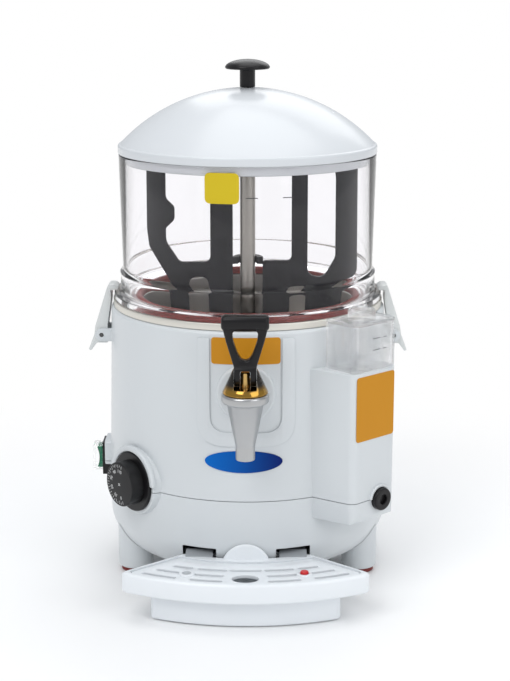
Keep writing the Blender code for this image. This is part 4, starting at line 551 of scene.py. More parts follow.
# each corner: share across, share up, corner radius in metres
mixerRight = [
    (-0.918, 1.0, 0.004), (1.0, 1.0, 0.004), (1.0, 0.440, 0.010), (0.860, 0.350, 0.008),
    (0.845, 0.086, 0.006), (0.750, 0.0, 0.006), (0.527, 0.0, 0.002), (0.527, 0.350, 0.0072),
    (0.380, 0.350, 0.0072), (0.380, 0.0, 0.002),
]
mixerLeft = [
    (-0.355, 0.0, 0.002), (-0.355, 0.410, 0.0082), (-0.537, 0.410, 0.0082), (-0.537, 0.0, 0.002),
    (-0.628, 0.0, 0.004), (-0.709, 0.065, 0.006), (-0.709, 0.390, 0.008), (-0.898, 0.560, 0.012),
    (-0.918, 0.645, 0.012),
]
mixerLeftWindow = [
    (-0.745, 0.946, 0.005), (-0.340, 0.946, 0.005), (-0.340, 0.481, 0.006), (-0.620, 0.481, 0.006),
    (-0.745, 0.580, 0.014), (-0.745, 0.645, 0.004), (-0.665, 0.685, 0.005), (-0.665, 0.745, 0.005),
    (-0.745, 0.785, 0.008),
]
mixerRightWindow = [
    (0.545, 0.946, 0.005), (0.800, 0.946, 0.012), (0.800, 0.505, 0.012), (0.690, 0.405, 0.010),
    (0.545, 0.420, 0.008),
]


def mixerCorners(shares):
    size = mixerSize
    return [(across * size["reach"], size["bottom"] + share * size["height"], radius)
            for across, share, radius in shares]


def makeMixer():
    size = mixerSize
    slotHalf = size["slotHalf"]
    bridge = size["bottom"] + size["bridge"] * size["height"]
    barLow = size["bottom"] + size["barLow"] * size["height"]
    rightEdge = 0.4 * size["reach"]
    outline = mixerCorners(mixerRight)
    outline += [(slotHalf, size["bottom"], 0.002), (slotHalf, bridge, 0.003), (rightEdge, bridge, 0.005),
                (rightEdge, barLow, 0.005), (-slotHalf, barLow, 0.003), (-slotHalf, size["bottom"], 0.002)]
    outline += mixerCorners(mixerLeft)
    half = size["thickness"] / 2
    blades = plate("stirringFrame", rounded(outline), size["thickness"],
                   [rounded(mixerCorners(mixerLeftWindow)), rounded(mixerCorners(mixerRightWindow))],
                   (0, axisY - half, 0))
    softened(blades, size["edge"])
    finished(blades, "mixer", "mixer", ["mixer"])

    edge = 2 * size["edge"]
    profile = [(0, size["hubTop"] - 2 * edge), (size["bore"], size["hubTop"] - 2 * edge),
               (size["bore"], size["hubLow"]), (size["hub"], size["hubLow"]),
               *shoulder(size["hub"], size["hubTop"], edge, 4), (0, size["hubTop"])]
    hub = spun("stirringHub", profile, 64, (0, axisY, 0))
    finished(hub, "mixer", "mixer", ["mixer"])
    # the guide passes behind the tube, open at the front
    outline = bow((0, 0), size["ring"], -8, 188, 40) + bow((0, 0), size["ringBore"], 188, -8, 40)
    guide = plate("stirringGuide", outline, size["ringHeight"], (),
                  (0, axisY, size["ringLow"] + size["ringHeight"]),
                  (1, 0, 0), (0, 1, 0))
    finished(softened(guide, size["edge"], 2, 50), "mixer", "mixer", ["mixer"])
    print("mixer ready")


# White casing in two halves
casingSize = {
    "floor": 0.020, "wall": 0.003, "rimRound": 0.0036, "baseRound": 0.035, "mouth": 0.1057,
    "mouthLow": 0.236, "mouthHigh": 0.2487, "steps": 144,
    "bandRise": 0.0016, "bandHalf": 0.042, "bandBottom": 0.145, "bandRound": 0.022, "bandTop": 0.2387,
    "bandReach": 0.079, "panelReach": 0.085,
    "panelHalf": 0.031, "panelBottom": 0.157, "panelRound": 0.015, "bandEdge": 0.0009, "seamGap": 0.0007,
    "bossRadius": 0.025, "bossRise": 0.003, "bossEdge": 0.0024, "bossBore": 0.0104, "bossRoot": 0.010,
    "root": 0.112, "far": 0.19,
}
podSize = {
    "reach": 0.1625, "half": 0.026, "root": 0.0378, "corner": 0.009, "top": 0.210, "bottom": 0.076,
    "chamfer": 0.006, "edge": 0.0018, "neck": 0.118, "spigotHole": 0.0064, "middle": 0.1446,
}
dialSize = {
    "height": 0.099, "pad": 0.030, "padReach": 0.1312, "root": 0.036, "bore": 0.0090, "lipWidth": 0.0052,
    "lipRise": 0.0030, "bezel": 0.027, "bezelThick": 0.0028, "bezelBore": 0.0085, "drum": 0.020,
    "length": 0.0125, "edge": 0.0011,
}
switchSize = {
    "height": 0.0965, "half": 0.0145, "tall": 0.018, "reach": 0.1335, "round": 0.004, "edge": 0.0011,
    "frameHalf": 0.012, "frameTall": 0.0155, "frameThick": 0.0022, "border": 0.0028, "coverDeep": 0.009,
    "coverWall": 0.0008, "coverRound": 0.003, "rockerHalf": 0.0071, "rockerTall": 0.0100, "crown": 0.0078,
    "bodyDeep": 0.016, "inset": 0.0015, "padDrop": 0.0056, "frameDeep": 0.0090, "coverHalf": 0.0095,
    "coverTall": 0.0122,
}
drainSize = {
    "height": 0.094, "offset": 0.007, "hole": 0.0065, "flange": 0.010, "thick": 0.005, "edge": 0.0012,
    "barrel": 0.006, "barrelLong": 0.022, "recess": 0.0045, "recessDeep": 0.003, "lipWidth": 0.0025,
    "lipRise": 0.002,
}
latchSize = {
    "half": 0.011, "pinHeight": 0.216, "pinReach": 0.134, "pin": 0.00175, "earRadius": 0.006,
    "earThick": 0.003,
    "outer": 0.141, "tabReach": 0.1465, "tabDrop": 0.0154, "tabThick": 0.0022, "foot": 0.208,
    "hookReach": 0.1185, "hookThick": 0.0045, "plate": 0.0035, "innerTop": 0.125, "edge": 0.0007,
}
openingSize = {
    "vents": 8, "ventCircle": 0.060, "ventLong": 0.034, "ventWide": 0.005, "ventRound": 0.0022,
    "windowHalf": 0.015, "windowX": 0.041, "windowLow": 0.0390, "windowHigh": 0.0508, "windowRound": 0.0012,
    "windowStart": 0.135, "windowDeep": 0.08, "ventLow": 0.016, "ventTall": 0.011, "glandIn": 0.118,
    "glandOut": 0.133,
    "glandHeight": 0.060, "glandHole": 0.0088,
}


def casingRound(name, inset):
    # the round part of the casing as one solid, drawn in by the inset
    size = casingSize
    rimRound, baseRound = max(size["rimRound"] - inset, 0.0006), size["baseRound"] - inset
    out, top, floor = place["casingRadius"] - inset, place["casingTop"] - inset, size["floor"] + inset
    profile = [(0, floor), *heel(out, floor, baseRound, 14)]
    profile += [(out, place["seam"])]
    profile += shoulder(place["casingTopRadius"] - inset, top, rimRound, 8)
    profile += [(0, top)]
    return spun(name, profile, size["steps"], (0, axisY, 0))


def podSolid(name, inset):
    # the pod stands out of the round casing and widens towards it; its lower front edge is cut off
    size = podSize
    out, along = outward(place["podTurn"])
    half, root, front = size["half"] - inset, size["root"] - inset, size["reach"] - inset
    corner, low, high = size["corner"] - inset, size["bottom"] + inset, size["top"] - inset
    outline = rounded([(-root, size["neck"], 0), (-half, front, corner), (half, front, corner),
                       (root, size["neck"], 0)], 8)
    pod = plate(name, outline, high - low, (), (0, axisY, low), along, out)
    slope = [(front - size["chamfer"], low - place["past"]), (front + place["past"], low - place["past"]),
             (front + place["past"], low + size["chamfer"] + place["past"])]
    wedge = plate(name + "Slope", slope, 2 * size["root"], (), Vector((0, axisY, 0)) - along * size["root"],
                  out, up)
    cut(pod, wedge)
    return pod if inset else softened(pod, size["edge"], 3, 34)


def tapBand():
    # the raised U round the tap: a slightly larger casing trimmed to the U's outline
    size = casingSize
    ridge = casingRound("raisedBand", -size["bandRise"])
    top, front = size["bandTop"], (0, axisY - size["far"], 0)
    outer = rounded([(-size["bandHalf"], top, 0.003), (-size["bandHalf"], size["bandBottom"],
                                                       size["bandRound"]),
                     (size["bandHalf"], size["bandBottom"], size["bandRound"]),
                     (size["bandHalf"], top, 0.003)], 10)
    inner = rounded([(-size["panelHalf"], top, 0), (-size["panelHalf"], size["panelBottom"],
                                                    size["panelRound"]),
                     (size["panelHalf"], size["panelBottom"], size["panelRound"]),
                     (size["panelHalf"], top, 0)], 10)
    inner[0] = (inner[0][0], top + 0.002)
    inner[-1] = (inner[-1][0], top + 0.002)
    combined(ridge, plate("bandOuter", outer, size["bandReach"], (), front), "INTERSECT")
    cut(ridge, plate("bandInner", inner, size["panelReach"], (), front))
    return softened(ridge, size["bandEdge"], 2, 40)


def facingBox(name, azimuth, half, low, high, corner, start, end, offset=0.0, steps=6):
    # a rounded box standing out of the casing from start to end
    out, along = outward(azimuth)
    middle = (low + high) / 2
    tall = (high - low) / 2
    return plate(name, roundedBox(half, -tall, tall, corner, steps), end - start, (),
                 onCasing(azimuth, end, middle, offset), along, up)


def facingRod(name, azimuth, radius, height, start, end, offset=0.0, steps=64):
    out = outward(azimuth)[0]
    return rod(name, radius, 0, end - start, steps, onCasing(azimuth, start, height, offset), out)


def casingShell():
    # one shell with what is moulded on it; the seam parts it into two later
    size = casingSize
    shell = casingRound("upperCasing", 0)
    added(shell, podSolid("pod", 0))
    added(shell, tapBand())

    root = size["bossRoot"]
    profile = [(0, -root), (size["bossRadius"], -root)]
    profile += bow((size["bossRadius"] - size["bossEdge"], size["bossRise"] - size["bossEdge"]),
                   size["bossEdge"], 0, 90, 8)
    profile += [(0, size["bossRise"])]
    boss = spun("tapBoss", profile, 96, onCasing(0, casingRadiusAt(place["outlet"]), place["outlet"]),
                outward(0)[0])
    added(shell, boss)

    dial = dialSize
    reach = dial["padReach"] - size["root"]
    profile = [(0, 0), (dial["root"], 0)]
    profile += bow((dial["pad"] - dial["edge"], reach - dial["edge"]), dial["edge"], 10, 90, 5)
    profile += [(0, reach)]
    pad = spun("dialPad", profile, 96, onCasing(place["dialTurn"], size["root"], dial["height"]),
               outward(place["dialTurn"])[0])
    added(shell, pad)

    switch = switchSize
    pad = facingBox("switchPad", -90, switch["half"], switch["height"] - switch["padDrop"],
                    switch["height"] + switch["tall"], switch["round"], size["root"], switch["reach"])
    added(shell, softened(pad, switch["edge"], 3, 40))

    hollow = casingRound("casingHollow", size["wall"])
    added(hollow, podSolid("podHollow", size["wall"]))
    cut(shell, hollow)

    hole = facingRod("dialHole", place["dialTurn"], dial["bore"], dial["height"], dial["padReach"] - 0.012,
                     dial["padReach"] + place["past"])
    cut(shell, hole)
    frameHalf, frameTall = switch["frameHalf"], switch["frameTall"]
    hole = facingBox("switchHole", -90, frameHalf + place["fit"], switch["height"] - frameTall - place["fit"],
                     switch["height"] + frameTall + place["fit"], 0.001, switch["reach"] - 0.016,
                     switch["reach"] + place["past"])
    cut(shell, hole)
    drain = drainSize
    hole = facingRod("drainHole", place["podTurn"], drain["hole"], drain["height"], podSize["reach"] - 0.007,
                     podSize["reach"] + place["past"], drain["offset"])
    cut(shell, hole)
    return shell


def halfRing(name, azimuth, inner, outer, height, start, end, edge, offset=0.0):
    # a soft hood over the top half of a round opening
    out, along = outward(azimuth)
    outline = bow((0, 0), outer, 3, 177, 28) + bow((0, 0), inner, 177, 3, 28)
    hood = plate(name, outline, end - start, (), onCasing(azimuth, end, height, offset), along, up)
    return softened(hood, edge, 3, 50)


def halvedAt(piece, height, keepUpper):
    # the casing is cut flat at the seam
    size = casingSize
    low, high = (-0.01, height) if keepUpper else (height, 0.30)
    block = plate("seamBlock", [(-size["far"], low), (size["far"], low), (size["far"], high),
                                (-size["far"], high)],
                  2 * size["far"], (), (0, axisY - size["far"], 0))
    return cut(piece, block)


def makeCasing():
    size = casingSize
    upper = casingShell()
    pickOnly(upper)
    bpy.ops.object.duplicate()
    lower = bpy.context.object
    lower.name = lower.data.name = "lowerCasing"
    halvedAt(upper, place["seam"], True)
    halvedAt(lower, place["seam"] - size["seamGap"], False)
    print("casing shell parted")

    mouth = rod("casingMouth", size["mouth"], size["mouthLow"], size["mouthHigh"], size["steps"],
                (0, axisY, 0))
    cut(upper, mouth)
    hole = facingRod("shankHole", 0, size["bossBore"], place["outlet"], 0.115, 0.134)
    cut(upper, hole)
    hole = rod("spigotHole", podSize["spigotHole"], 0.203, 0.214, 48,
               onCasing(place["podTurn"], podSize["middle"], 0))
    cut(upper, hole)

    latch = latchSize
    for side in (-1, 1):
        root = casingRadiusAt(latch["pinHeight"]) - size["wall"] * 0.9
        tip = bow((latch["pinReach"], latch["pinHeight"]), latch["earRadius"], -90, 90, 16)
        outline = [(root, latch["pinHeight"] - latch["earRadius"]), *tip,
                   (root, latch["pinHeight"] + latch["earRadius"])]
        outline = [(side * across, height) for across, height in outline]
        for end in (-1, 1):
            near = latch["half"] + place["fit"]
            start = near if end > 0 else -near - latch["earThick"]
            ear = plate("latchEar", outline, latch["earThick"], (), (0, axisY + start, 0))
            added(upper, softened(ear, 0.0006, 2, 40))
        hole = rod("pinHole", latch["pin"] + place["fit"], -0.02, 0.02, 32,
                   (side * latch["pinReach"], axisY, latch["pinHeight"]), (0, 1, 0))
        cut(upper, hole)

    dial = dialSize
    hood = halfRing("dialHood", place["dialTurn"], dial["bezel"] + place["fit"],
                    dial["bezel"] + place["fit"] + dial["lipWidth"], dial["height"],
                    dial["padReach"] - 0.0015, dial["padReach"] + dial["lipRise"], 0.0013)
    added(upper, halvedAt(hood, place["seam"], True))
    drain = drainSize
    hood = halfRing("drainHood", place["podTurn"], drain["flange"] + place["fit"],
                    drain["flange"] + place["fit"] + drain["lipWidth"], drain["height"],
                    podSize["reach"] - 0.0015, podSize["reach"] + drain["lipRise"], 0.0008, drain["offset"])
    added(upper, halvedAt(hood, place["seam"], True))
    finished(upper, "machine", "casing", ["upper_casing"], 30)
    print("upper casing ready")

    size = openingSize
    for side in (-1, 1):
        window = plate("trayWindow", roundedBox(size["windowHalf"], size["windowLow"], size["windowHigh"],
                                                size["windowRound"], 3), size["windowDeep"], (),
                       (side * size["windowX"], axisY - size["windowStart"], 0))
        cut(lower, window)
    for number in range(size["vents"]):
        out, along = outward((number + 0.5) * 360 / size["vents"])
        outline = roundedBox(size["ventWide"] / 2, size["ventCircle"] - size["ventLong"] / 2,
                             size["ventCircle"] + size["ventLong"] / 2, size["ventRound"], 4)
        vent = plate("vent", outline, size["ventTall"], (), (0, axisY, size["ventLow"]), along, out)
        cut(lower, vent)
    hole = facingRod("glandHole", 180, size["glandHole"], size["glandHeight"], size["glandIn"],
                    size["glandOut"], 0, 48)
    cut(lower, hole)
    finished(lower, "machine", "casing", ["lower_casing"], 30)
    print("lower casing ready")


# Tap
tapSize = {
    "collar": 0.020, "collarTop": 0.2016, "collarLow": 0.1932, "collarEdge": 0.0027, "taper": 0.016,
    "taperLow": 0.1565, "spout": 0.0082, "tip": 0.1438, "bore": 0.0062, "chamber": 0.011, "seat": 0.1815,
    "edge": 0.0008, "shank": 0.010, "flange": 0.0155, "flangeThick": 0.0027, "shankStart": 0.1119,
    "flangeFace": 0.13137, "socket": 0.0078, "socketEnd": 0.1193, "steps": 96,
    "bonnet": 0.019, "bonnetLow": 0.2019, "bonnetEdge": 0.0008, "bonnetTip": 0.0092, "bonnetHigh": 0.2226,
    "spigot": 0.0107, "spigotIn": 0.0085, "spigotLow": 0.1988, "pocketFloor": 0.2071, "pocketCeiling": 0.2031,
    "pocketHalf": 0.0096, "stemHole": 0.0043, "stem": 0.004, "stemTop": 0.2192, "stemTip": 0.0025,
    "stemLow": 0.1882, "stemTipLow": 0.1842, "pin": 0.2149, "pinHole": 0.0018,
}
leverSize = {
    "half": 0.0198, "height": 0.0527, "halfDeep": 0.005, "barTall": 0.013, "barDeep": 0.0065,
    "barRound": 0.0058,
    "barEnd": 0.0032, "roundSteps": [(0.0003, 0.0008), (0.0005, 0.0006), (0.0007, 0.0003)],
    "neckHalf": 0.00925, "neckDeep": 0.007, "cheek": 0.0075, "slot": 0.0044,
    "crotch": 0.0066, "neckTop": 0.2262,
}
# half of the lever's loop, shares of its half width and height, with each corner's radius
leverSide = [(0.467, 0.087, 0), (0.48, 0.182, 0.006), (0.58, 0.310, 0.008), (0.80, 0.584, 0.012),
             (0.93, 0.780, 0.008)]
leverOpening = [(0.0, 0.273, 0.004), (0.16, 0.296, 0.004), (0.31, 0.385, 0.006), (0.50, 0.584, 0.008),
                (0.53, 0.714, 0.003), (0.47, 0.752, 0.002)]


def makeTap():
    size = tapSize
    edge, bigEdge = size["edge"], size["collarEdge"]
    profile = [(0, size["tip"]), *heel(size["spout"], size["tip"], edge, 4)]
    profile += bow((size["spout"] + 2 * edge, size["taperLow"] - edge), 2 * edge, 180, 160, 3)
    profile += [(size["taper"] - edge / 2, size["collarLow"] - edge / 2), (size["taper"], size["collarLow"])]
    profile += heel(size["collar"], size["collarLow"], bigEdge, 10)
    profile += shoulder(size["collar"], size["collarTop"], bigEdge, 10)
    profile += [(0, size["collarTop"])]
    body = spun("tapBody", profile, size["steps"], (0, tapY, 0))
    out = outward(0)[0]
    reach = place["tapReach"] - size["shankStart"]
    flange = size["flangeFace"] - size["shankStart"]
    profile = [(0, 0), (size["shank"], 0), (size["shank"], flange), (size["flange"] - edge, flange),
               *shoulder(size["flange"], flange + size["flangeThick"], edge, 4),
               (size["shank"], flange + size["flangeThick"]), (size["shank"], reach), (0, reach)]
    shank = spun("tapShank", profile, size["steps"], onCasing(0, size["shankStart"], place["outlet"]), out)
    added(body, shank)
    profile = [(0, 0.138), (size["bore"], 0.138), (size["bore"], size["seat"]),
               (size["chamber"], size["seat"]),
               (size["chamber"], 0.208), (0, 0.208)]
    cut(body, spun("tapChamber", profile, 64, (0, tapY, 0)))
    bore = facingRod("tapBore", 0, size["bore"] + 0.0001, place["outlet"], size["shankStart"] - place["past"],
                     place["tapReach"], 0, 48)
    cut(body, bore)
    socket = facingRod("tapSocket", 0, size["socket"], place["outlet"], size["shankStart"] - place["past"],
                       size["socketEnd"], 0, 48)
    cut(body, socket)
    finished(body, "machine", "chrome", ["tap_body"], 38)

    low, top = size["bonnetLow"], size["bonnetHigh"]
    profile = [(size["spigotIn"], size["spigotLow"]), (size["spigot"], size["spigotLow"]),
               (size["spigot"], low), (size["bonnet"] - 0.0004, low), (size["bonnet"], low + 0.0004),
               (size["bonnet"], low + size["bonnetEdge"]), (size["bonnetTip"] + 0.0006, top - 0.0004),
               (size["bonnetTip"], top), (size["stemHole"], top), (size["stemHole"], size["pocketCeiling"]),
               (size["spigotIn"], size["pocketCeiling"])]
    bonnet = spun("tapBonnet", profile, size["steps"], (0, tapY, 0), closed=True)
    pocket = plate("bonnetPocket", roundedBox(size["pocketHalf"], size["pocketFloor"], top + place["past"],
                                              0.0005, 2),
                   0.05, (), (0, tapY - 0.025, 0))
    cut(bonnet, pocket)
    softened(bonnet, 0.0003, 2, 40)
    finished(bonnet, "machine", "cone", ["tap_bonnet"], 38)

    profile = [(0, size["stemTipLow"]), (size["stemTip"], size["stemTipLow"]),
               (size["stemTip"], size["stemLow"]),
               (size["stem"], size["stemLow"]), *shoulder(size["stem"], size["stemTop"], edge, 4),
               (0, size["stemTop"])]
    stem = spun("tapStem", profile, 48, (0, tapY, 0))
    hole = rod("stemHole", size["pinHole"], -0.01, 0.01, 32, (0, tapY, size["pin"]), (1, 0, 0))
    cut(stem, hole)
    finished(stem, "plunger", "brass", ["tap_stem"], 38)
    print("tap ready")


def makeLever():
    size = leverSize
    low, half, height = tapSize["pin"], size["half"], size["height"]
    top = low + height
    side = [(share * half, low + rise * height, radius) for share, rise, radius in leverSide]
    side += [(0.93 * half, top - size["barTall"] / 2, 0)]
    outline = rounded(side + [(-across, rise, radius) for across, rise, radius in reversed(side)], 8)
    opening = [(share * half, low + rise * height, radius) for share, rise, radius in leverOpening]
    opening = rounded(opening + [(-across, rise, radius) for across, rise, radius in reversed(opening[1:])],
                      8)
    rise = sum(raised for inward, raised in size["roundSteps"])
    flat = size["halfDeep"] - rise
    lever = plate("tapLever", outline, 2 * flat, [opening], (0, tapY - flat, 0))
    for direction in ((0, -1, 0), (0, 1, 0)):
        cushioned(lever, direction, size["roundSteps"])
    bar = plate("leverBar", roundedBox(size["barDeep"], top - size["barTall"], top, size["barRound"], 10),
                2 * half, (), (half, tapY, 0), (0, 1, 0), up)
    added(lever, softened(bar, size["barEnd"], 4, 40))
    outline = bow((0, low), size["cheek"], 180, 360, 24)
    outline += rounded([(size["neckDeep"], size["neckTop"] - 0.003, 0),
                        (size["halfDeep"] - 0.001, size["neckTop"], 0.001),
                        (-size["halfDeep"] + 0.001, size["neckTop"], 0.001),
                        (-size["neckDeep"], size["neckTop"] - 0.003, 0)])
    neck = plate("leverNeck", outline, 2 * size["neckHalf"], (), (size["neckHalf"], tapY, 0), (0, 1, 0), up)
    added(lever, softened(neck, 0.0009, 3, 40))
    slot = plate("leverSlot", roundedBox(size["slot"], low - 0.015, low + size["crotch"], 0.0015, 4), 0.04,
                 (), (0, tapY - 0.02, 0))
    cut(lever, slot)
    hole = rod("leverHole", tapSize["pinHole"], -0.02, 0.02, 32, (0, tapY, low), (1, 0, 0))
    cut(lever, hole)
    finished(lever, "lever", "black", ["tap_lever"], 40)
    print("lever ready")


def makeLatches():
    size = latchSize
    foot, pinHeight, outer = size["foot"], size["pinHeight"], size["outer"]
    hookLow = place["bowlFoot"] + bowlSize["flangeHeight"] + place["fit"]
    hookTop = hookLow + size["hookThick"]
    innerLow = casingRadiusAt(pinHeight) + 0.003
    tabLow = pinHeight - size["tabDrop"]
    corners = [
        (innerLow, foot, 0.001), (outer - size["tabThick"], foot, 0.001),
        (size["tabReach"] - size["tabThick"], tabLow, 0.0008), (size["tabReach"],
                                                                tabLow + size["tabThick"] / 2, 0.0008),
        (outer, foot + 0.008, 0.003), (outer - size["tabThick"] / 2, foot + 0.016, 0.004),
        (size["innerTop"] + size["plate"], hookTop - size["hookThick"] / 2, 0.002),
        (size["innerTop"] + size["plate"] / 2, hookTop, 0.0015),
        (size["hookReach"] + size["plate"], hookTop, 0.002),
        (size["hookReach"], hookLow + size["hookThick"] / 2, 0.001), (size["hookReach"], hookLow, 0.0006),
        (size["innerTop"], hookLow, 0.001), (size["innerTop"], hookLow - 2 * size["hookThick"], 0.002),
        (innerLow, foot + 0.016, 0.002),
    ]
    for side, word, tail in ((-1, "left", "Left"), (1, "right", "Right")):
        outline = rounded([(side * across, rise, radius) for across, rise, radius in corners], 5)
        clip = plate("latch" + tail, outline, 2 * size["half"], (), (0, axisY - size["half"], 0))
        softened(clip, size["edge"], 2, 40)
        hole = rod("latchHole", size["pin"] + place["fit"], -0.02, 0.02, 32,
                   (side * size["pinReach"], axisY, pinHeight), (0, 1, 0))
        cut(clip, hole)
        finished(clip, word + "_latch", "latch", ["latch_" + word], 40)
        reach = size["half"] + place["fit"] + size["earThick"]
        pin = spun("latchPin" + tail, [(0, -reach), *bow((size["pin"] - 0.0004, -reach + 0.0004), 0.0004,
                                                         -90, 0, 3),
                                       *bow((size["pin"] - 0.0004, reach - 0.0004), 0.0004, 0, 90, 3),
                                       (0, reach)],
                   32, (side * size["pinReach"], axisY, pinHeight), (0, 1, 0))
        finished(pin, "machine", "darkSteel", ["latch_" + word + "_pin"], 40)
    print("latches ready")


# Dial with its marks: lengths in metres, turns in degrees from the top
markSize = {
    "ticks": 25, "first": -198, "sweep": 210, "long": 0.0030, "short": 0.0018, "wide": 0.0004,
    "fromEdge": 0.0019,
    "numberFirst": -192, "numberSweep": 196, "numberTall": 0.0042, "numberReach": 0.0120, "lift": 0.00008,
    "cross": 0.0032, "crossWide": 0.0006, "crossTurn": 0.7,
}


def printed(name, words, height, origin, right, upward, finish, body):
    # flat lettering made a mesh, then laid on a face
    leaveEdit()
    bpy.ops.object.select_all(action="DESELECT")
    bpy.ops.object.text_add()
    piece = bpy.context.object
    piece.name = name
    piece.data.body = words
    piece.data.align_x, piece.data.align_y = "CENTER", "CENTER"
    piece.data.size = height
    piece.data.extrude = 0.00006
    pickOnly(piece)
    bpy.ops.object.convert(target="MESH")
    piece = bpy.context.object
    piece.data.name = name
    bpy.ops.object.mode_set(mode="EDIT")
    tidyMesh()
    leaveEdit()
    right, upward = Vector(right), Vector(upward)
    turn = Matrix((right, upward, right.cross(upward))).transposed().to_4x4()
    piece.matrix_world = Matrix.Translation(origin) @ turn
    bpy.ops.object.transform_apply(location=True, rotation=True, scale=True)
    return finished(piece, body, finish)


def markPlate(name, centre, turn, wide, tall, face, right, upward, out):
    # a small flat bar on a face, turned in the plane of the face
    ahead = right * math.sin(turn) + upward * math.cos(turn)
    aside = right * math.cos(turn) - upward * math.sin(turn)
    spot = face + right * centre[0] + upward * centre[1] + out * markSize["lift"]
    return plate(name, [(-wide / 2, -tall / 2), (wide / 2, -tall / 2), (wide / 2, tall / 2),
                        (-wide / 2, tall / 2)],
                 0.0003, (), spot, aside, ahead)


def joined(name, pieces):
    leaveEdit()
    bpy.ops.object.select_all(action="DESELECT")
    for piece in pieces:
        piece.select_set(True)
    bpy.context.view_layer.objects.active = pieces[0]
    bpy.ops.object.join()
    pieces[0].name = pieces[0].data.name = name
    return pieces[0]


def makeDial():
    size = dialSize
    out, along = outward(place["dialTurn"])
    low = size["padReach"] + place["fit"]
    edge, thick = size["edge"], size["bezelThick"]
    profile = [(size["bezelBore"], 0), (size["bezel"], 0)]
    profile += bow((size["bezel"] - 1.2 * edge, thick - 1.2 * edge), 1.2 * edge, 0, 90, 6)
    profile += [(size["bezelBore"], thick)]
    bezel = spun("dialBezel", profile, 96, onCasing(place["dialTurn"], low, size["height"]), out, closed=True)
    finished(bezel, "machine", "black", ["thermostat_bezel"], 40)

    low += thick + place["fit"]
    profile = [(0, -0.022), (0.003, -0.022), (0.003, 0), (size["drum"], 0)]
    profile += shoulder(size["drum"], size["length"], edge, 6)
    profile += [(0, size["length"])]
    drum = spun("dialDrum", profile, 96, onCasing(place["dialTurn"], low, size["height"]), out)
    finished(drum, "thermostat_dial", "dial", ["thermostat_knob"], 40)

    face = onCasing(place["dialTurn"], low + size["length"], size["height"])
    marks = []
    scale = markSize
    for number in range(scale["ticks"]):
        turn = math.radians(scale["first"] + scale["sweep"] * number / (scale["ticks"] - 1))
        tall = scale["short"] if number % 2 else scale["long"]
        reach = size["drum"] - scale["fromEdge"] - tall / 2
        marks.append(markPlate("dialTick", (reach * math.sin(turn), reach * math.cos(turn)), turn,
                               scale["wide"], tall, face, along, up, out))
    for turn in (scale["crossTurn"], scale["crossTurn"] + math.pi / 2):
        marks.append(markPlate("dialCentre", (0, 0), turn, scale["crossWide"], scale["cross"], face, along,
                               up, out))
    finished(joined("dialMarks", marks), "thermostat_dial", "print")
    for number, words in enumerate(("0", "30", "50", "70", "90", "110")):
        turn = math.radians(scale["numberFirst"] + scale["numberSweep"] * number / 5)
        ahead = along * math.sin(turn) + up * math.cos(turn)
        aside = along * math.cos(turn) - up * math.sin(turn)
        printed(f"dialNumber{number}", words, scale["numberTall"],
                face + ahead * scale["numberReach"] + out * scale["lift"], aside, ahead,
                "print", "thermostat_dial")
    print("dial ready")


def makeSwitch():
    size = switchSize
    out, along = outward(-90)
    low = size["reach"] + place["fit"]
    spot = onCasing(-90, low + size["frameThick"], size["height"])
    half, tall = size["frameHalf"], size["frameTall"]
    innerHalf, innerTall = half - size["border"], tall - size["border"]
    frameRim = plate("switchFrame", roundedBox(half, -tall, tall, 0.0016),
                     size["frameThick"] + size["frameDeep"], (), spot, along, up)
    softened(frameRim, 0.0005, 2, 40)
    tail = plate("switchTail", roundedBox(innerHalf, -innerTall, innerTall, 0.0005, 2),
                 size["frameThick"] / 2 + size["bodyDeep"], (), spot - out * size["frameThick"] / 2, along,
                 up)
    added(frameRim, tail)
    wellHalf, wellTall = innerHalf - size["inset"], innerTall - size["inset"]
    well = plate("switchWell", roundedBox(wellHalf, -wellTall, wellTall, 0.0005, 2),
                 size["frameThick"] + size["bodyDeep"] - size["inset"] + place["past"], (),
                 spot + out * place["past"], along, up)
    cut(frameRim, well)
    finished(frameRim, "machine", "black", ["switch_frame"], 40)

    crown, rockerTall = size["crown"], size["rockerTall"]
    hollow = [(rockerTall * share, crown - 0.0021 * (1 - share ** 2)) for share in (0.9, 0.6, 0.3, 0, -0.3,
                                                                                    -0.6, -0.9)]
    outline = [(-rockerTall, -0.005), (rockerTall, -0.005), (rockerTall, crown - 0.0003), *hollow,
               (-rockerTall, crown - 0.0003)]
    rocker = plate("powerRocker", outline, 2 * size["rockerHalf"], (),
                   onCasing(-90, low, size["height"], size["rockerHalf"]), up, out)
    softened(rocker, 0.0005, 2, 40)
    finished(rocker, "rocker", "green", ["power_rocker"], 40)

    deep, wall = size["coverDeep"], size["coverWall"]
    start = size["frameThick"] + place["fit"]
    spot = onCasing(-90, low + start + deep, size["height"])
    half, tall = size["coverHalf"], size["coverTall"]
    cover = plate("switchCover", roundedBox(half, -tall, tall, size["coverRound"]), deep, (), spot, along, up)
    softened(cover, 0.0012, 3, 60)
    room = plate("coverRoom", roundedBox(half - wall, -tall + wall, tall - wall, size["coverRound"] - wall),
                 deep, (), spot - out * wall, along, up)
    cut(cover, room)
    finished(cover, "machine", "cover", ["switch_cover"], 40)
    print("switch ready")


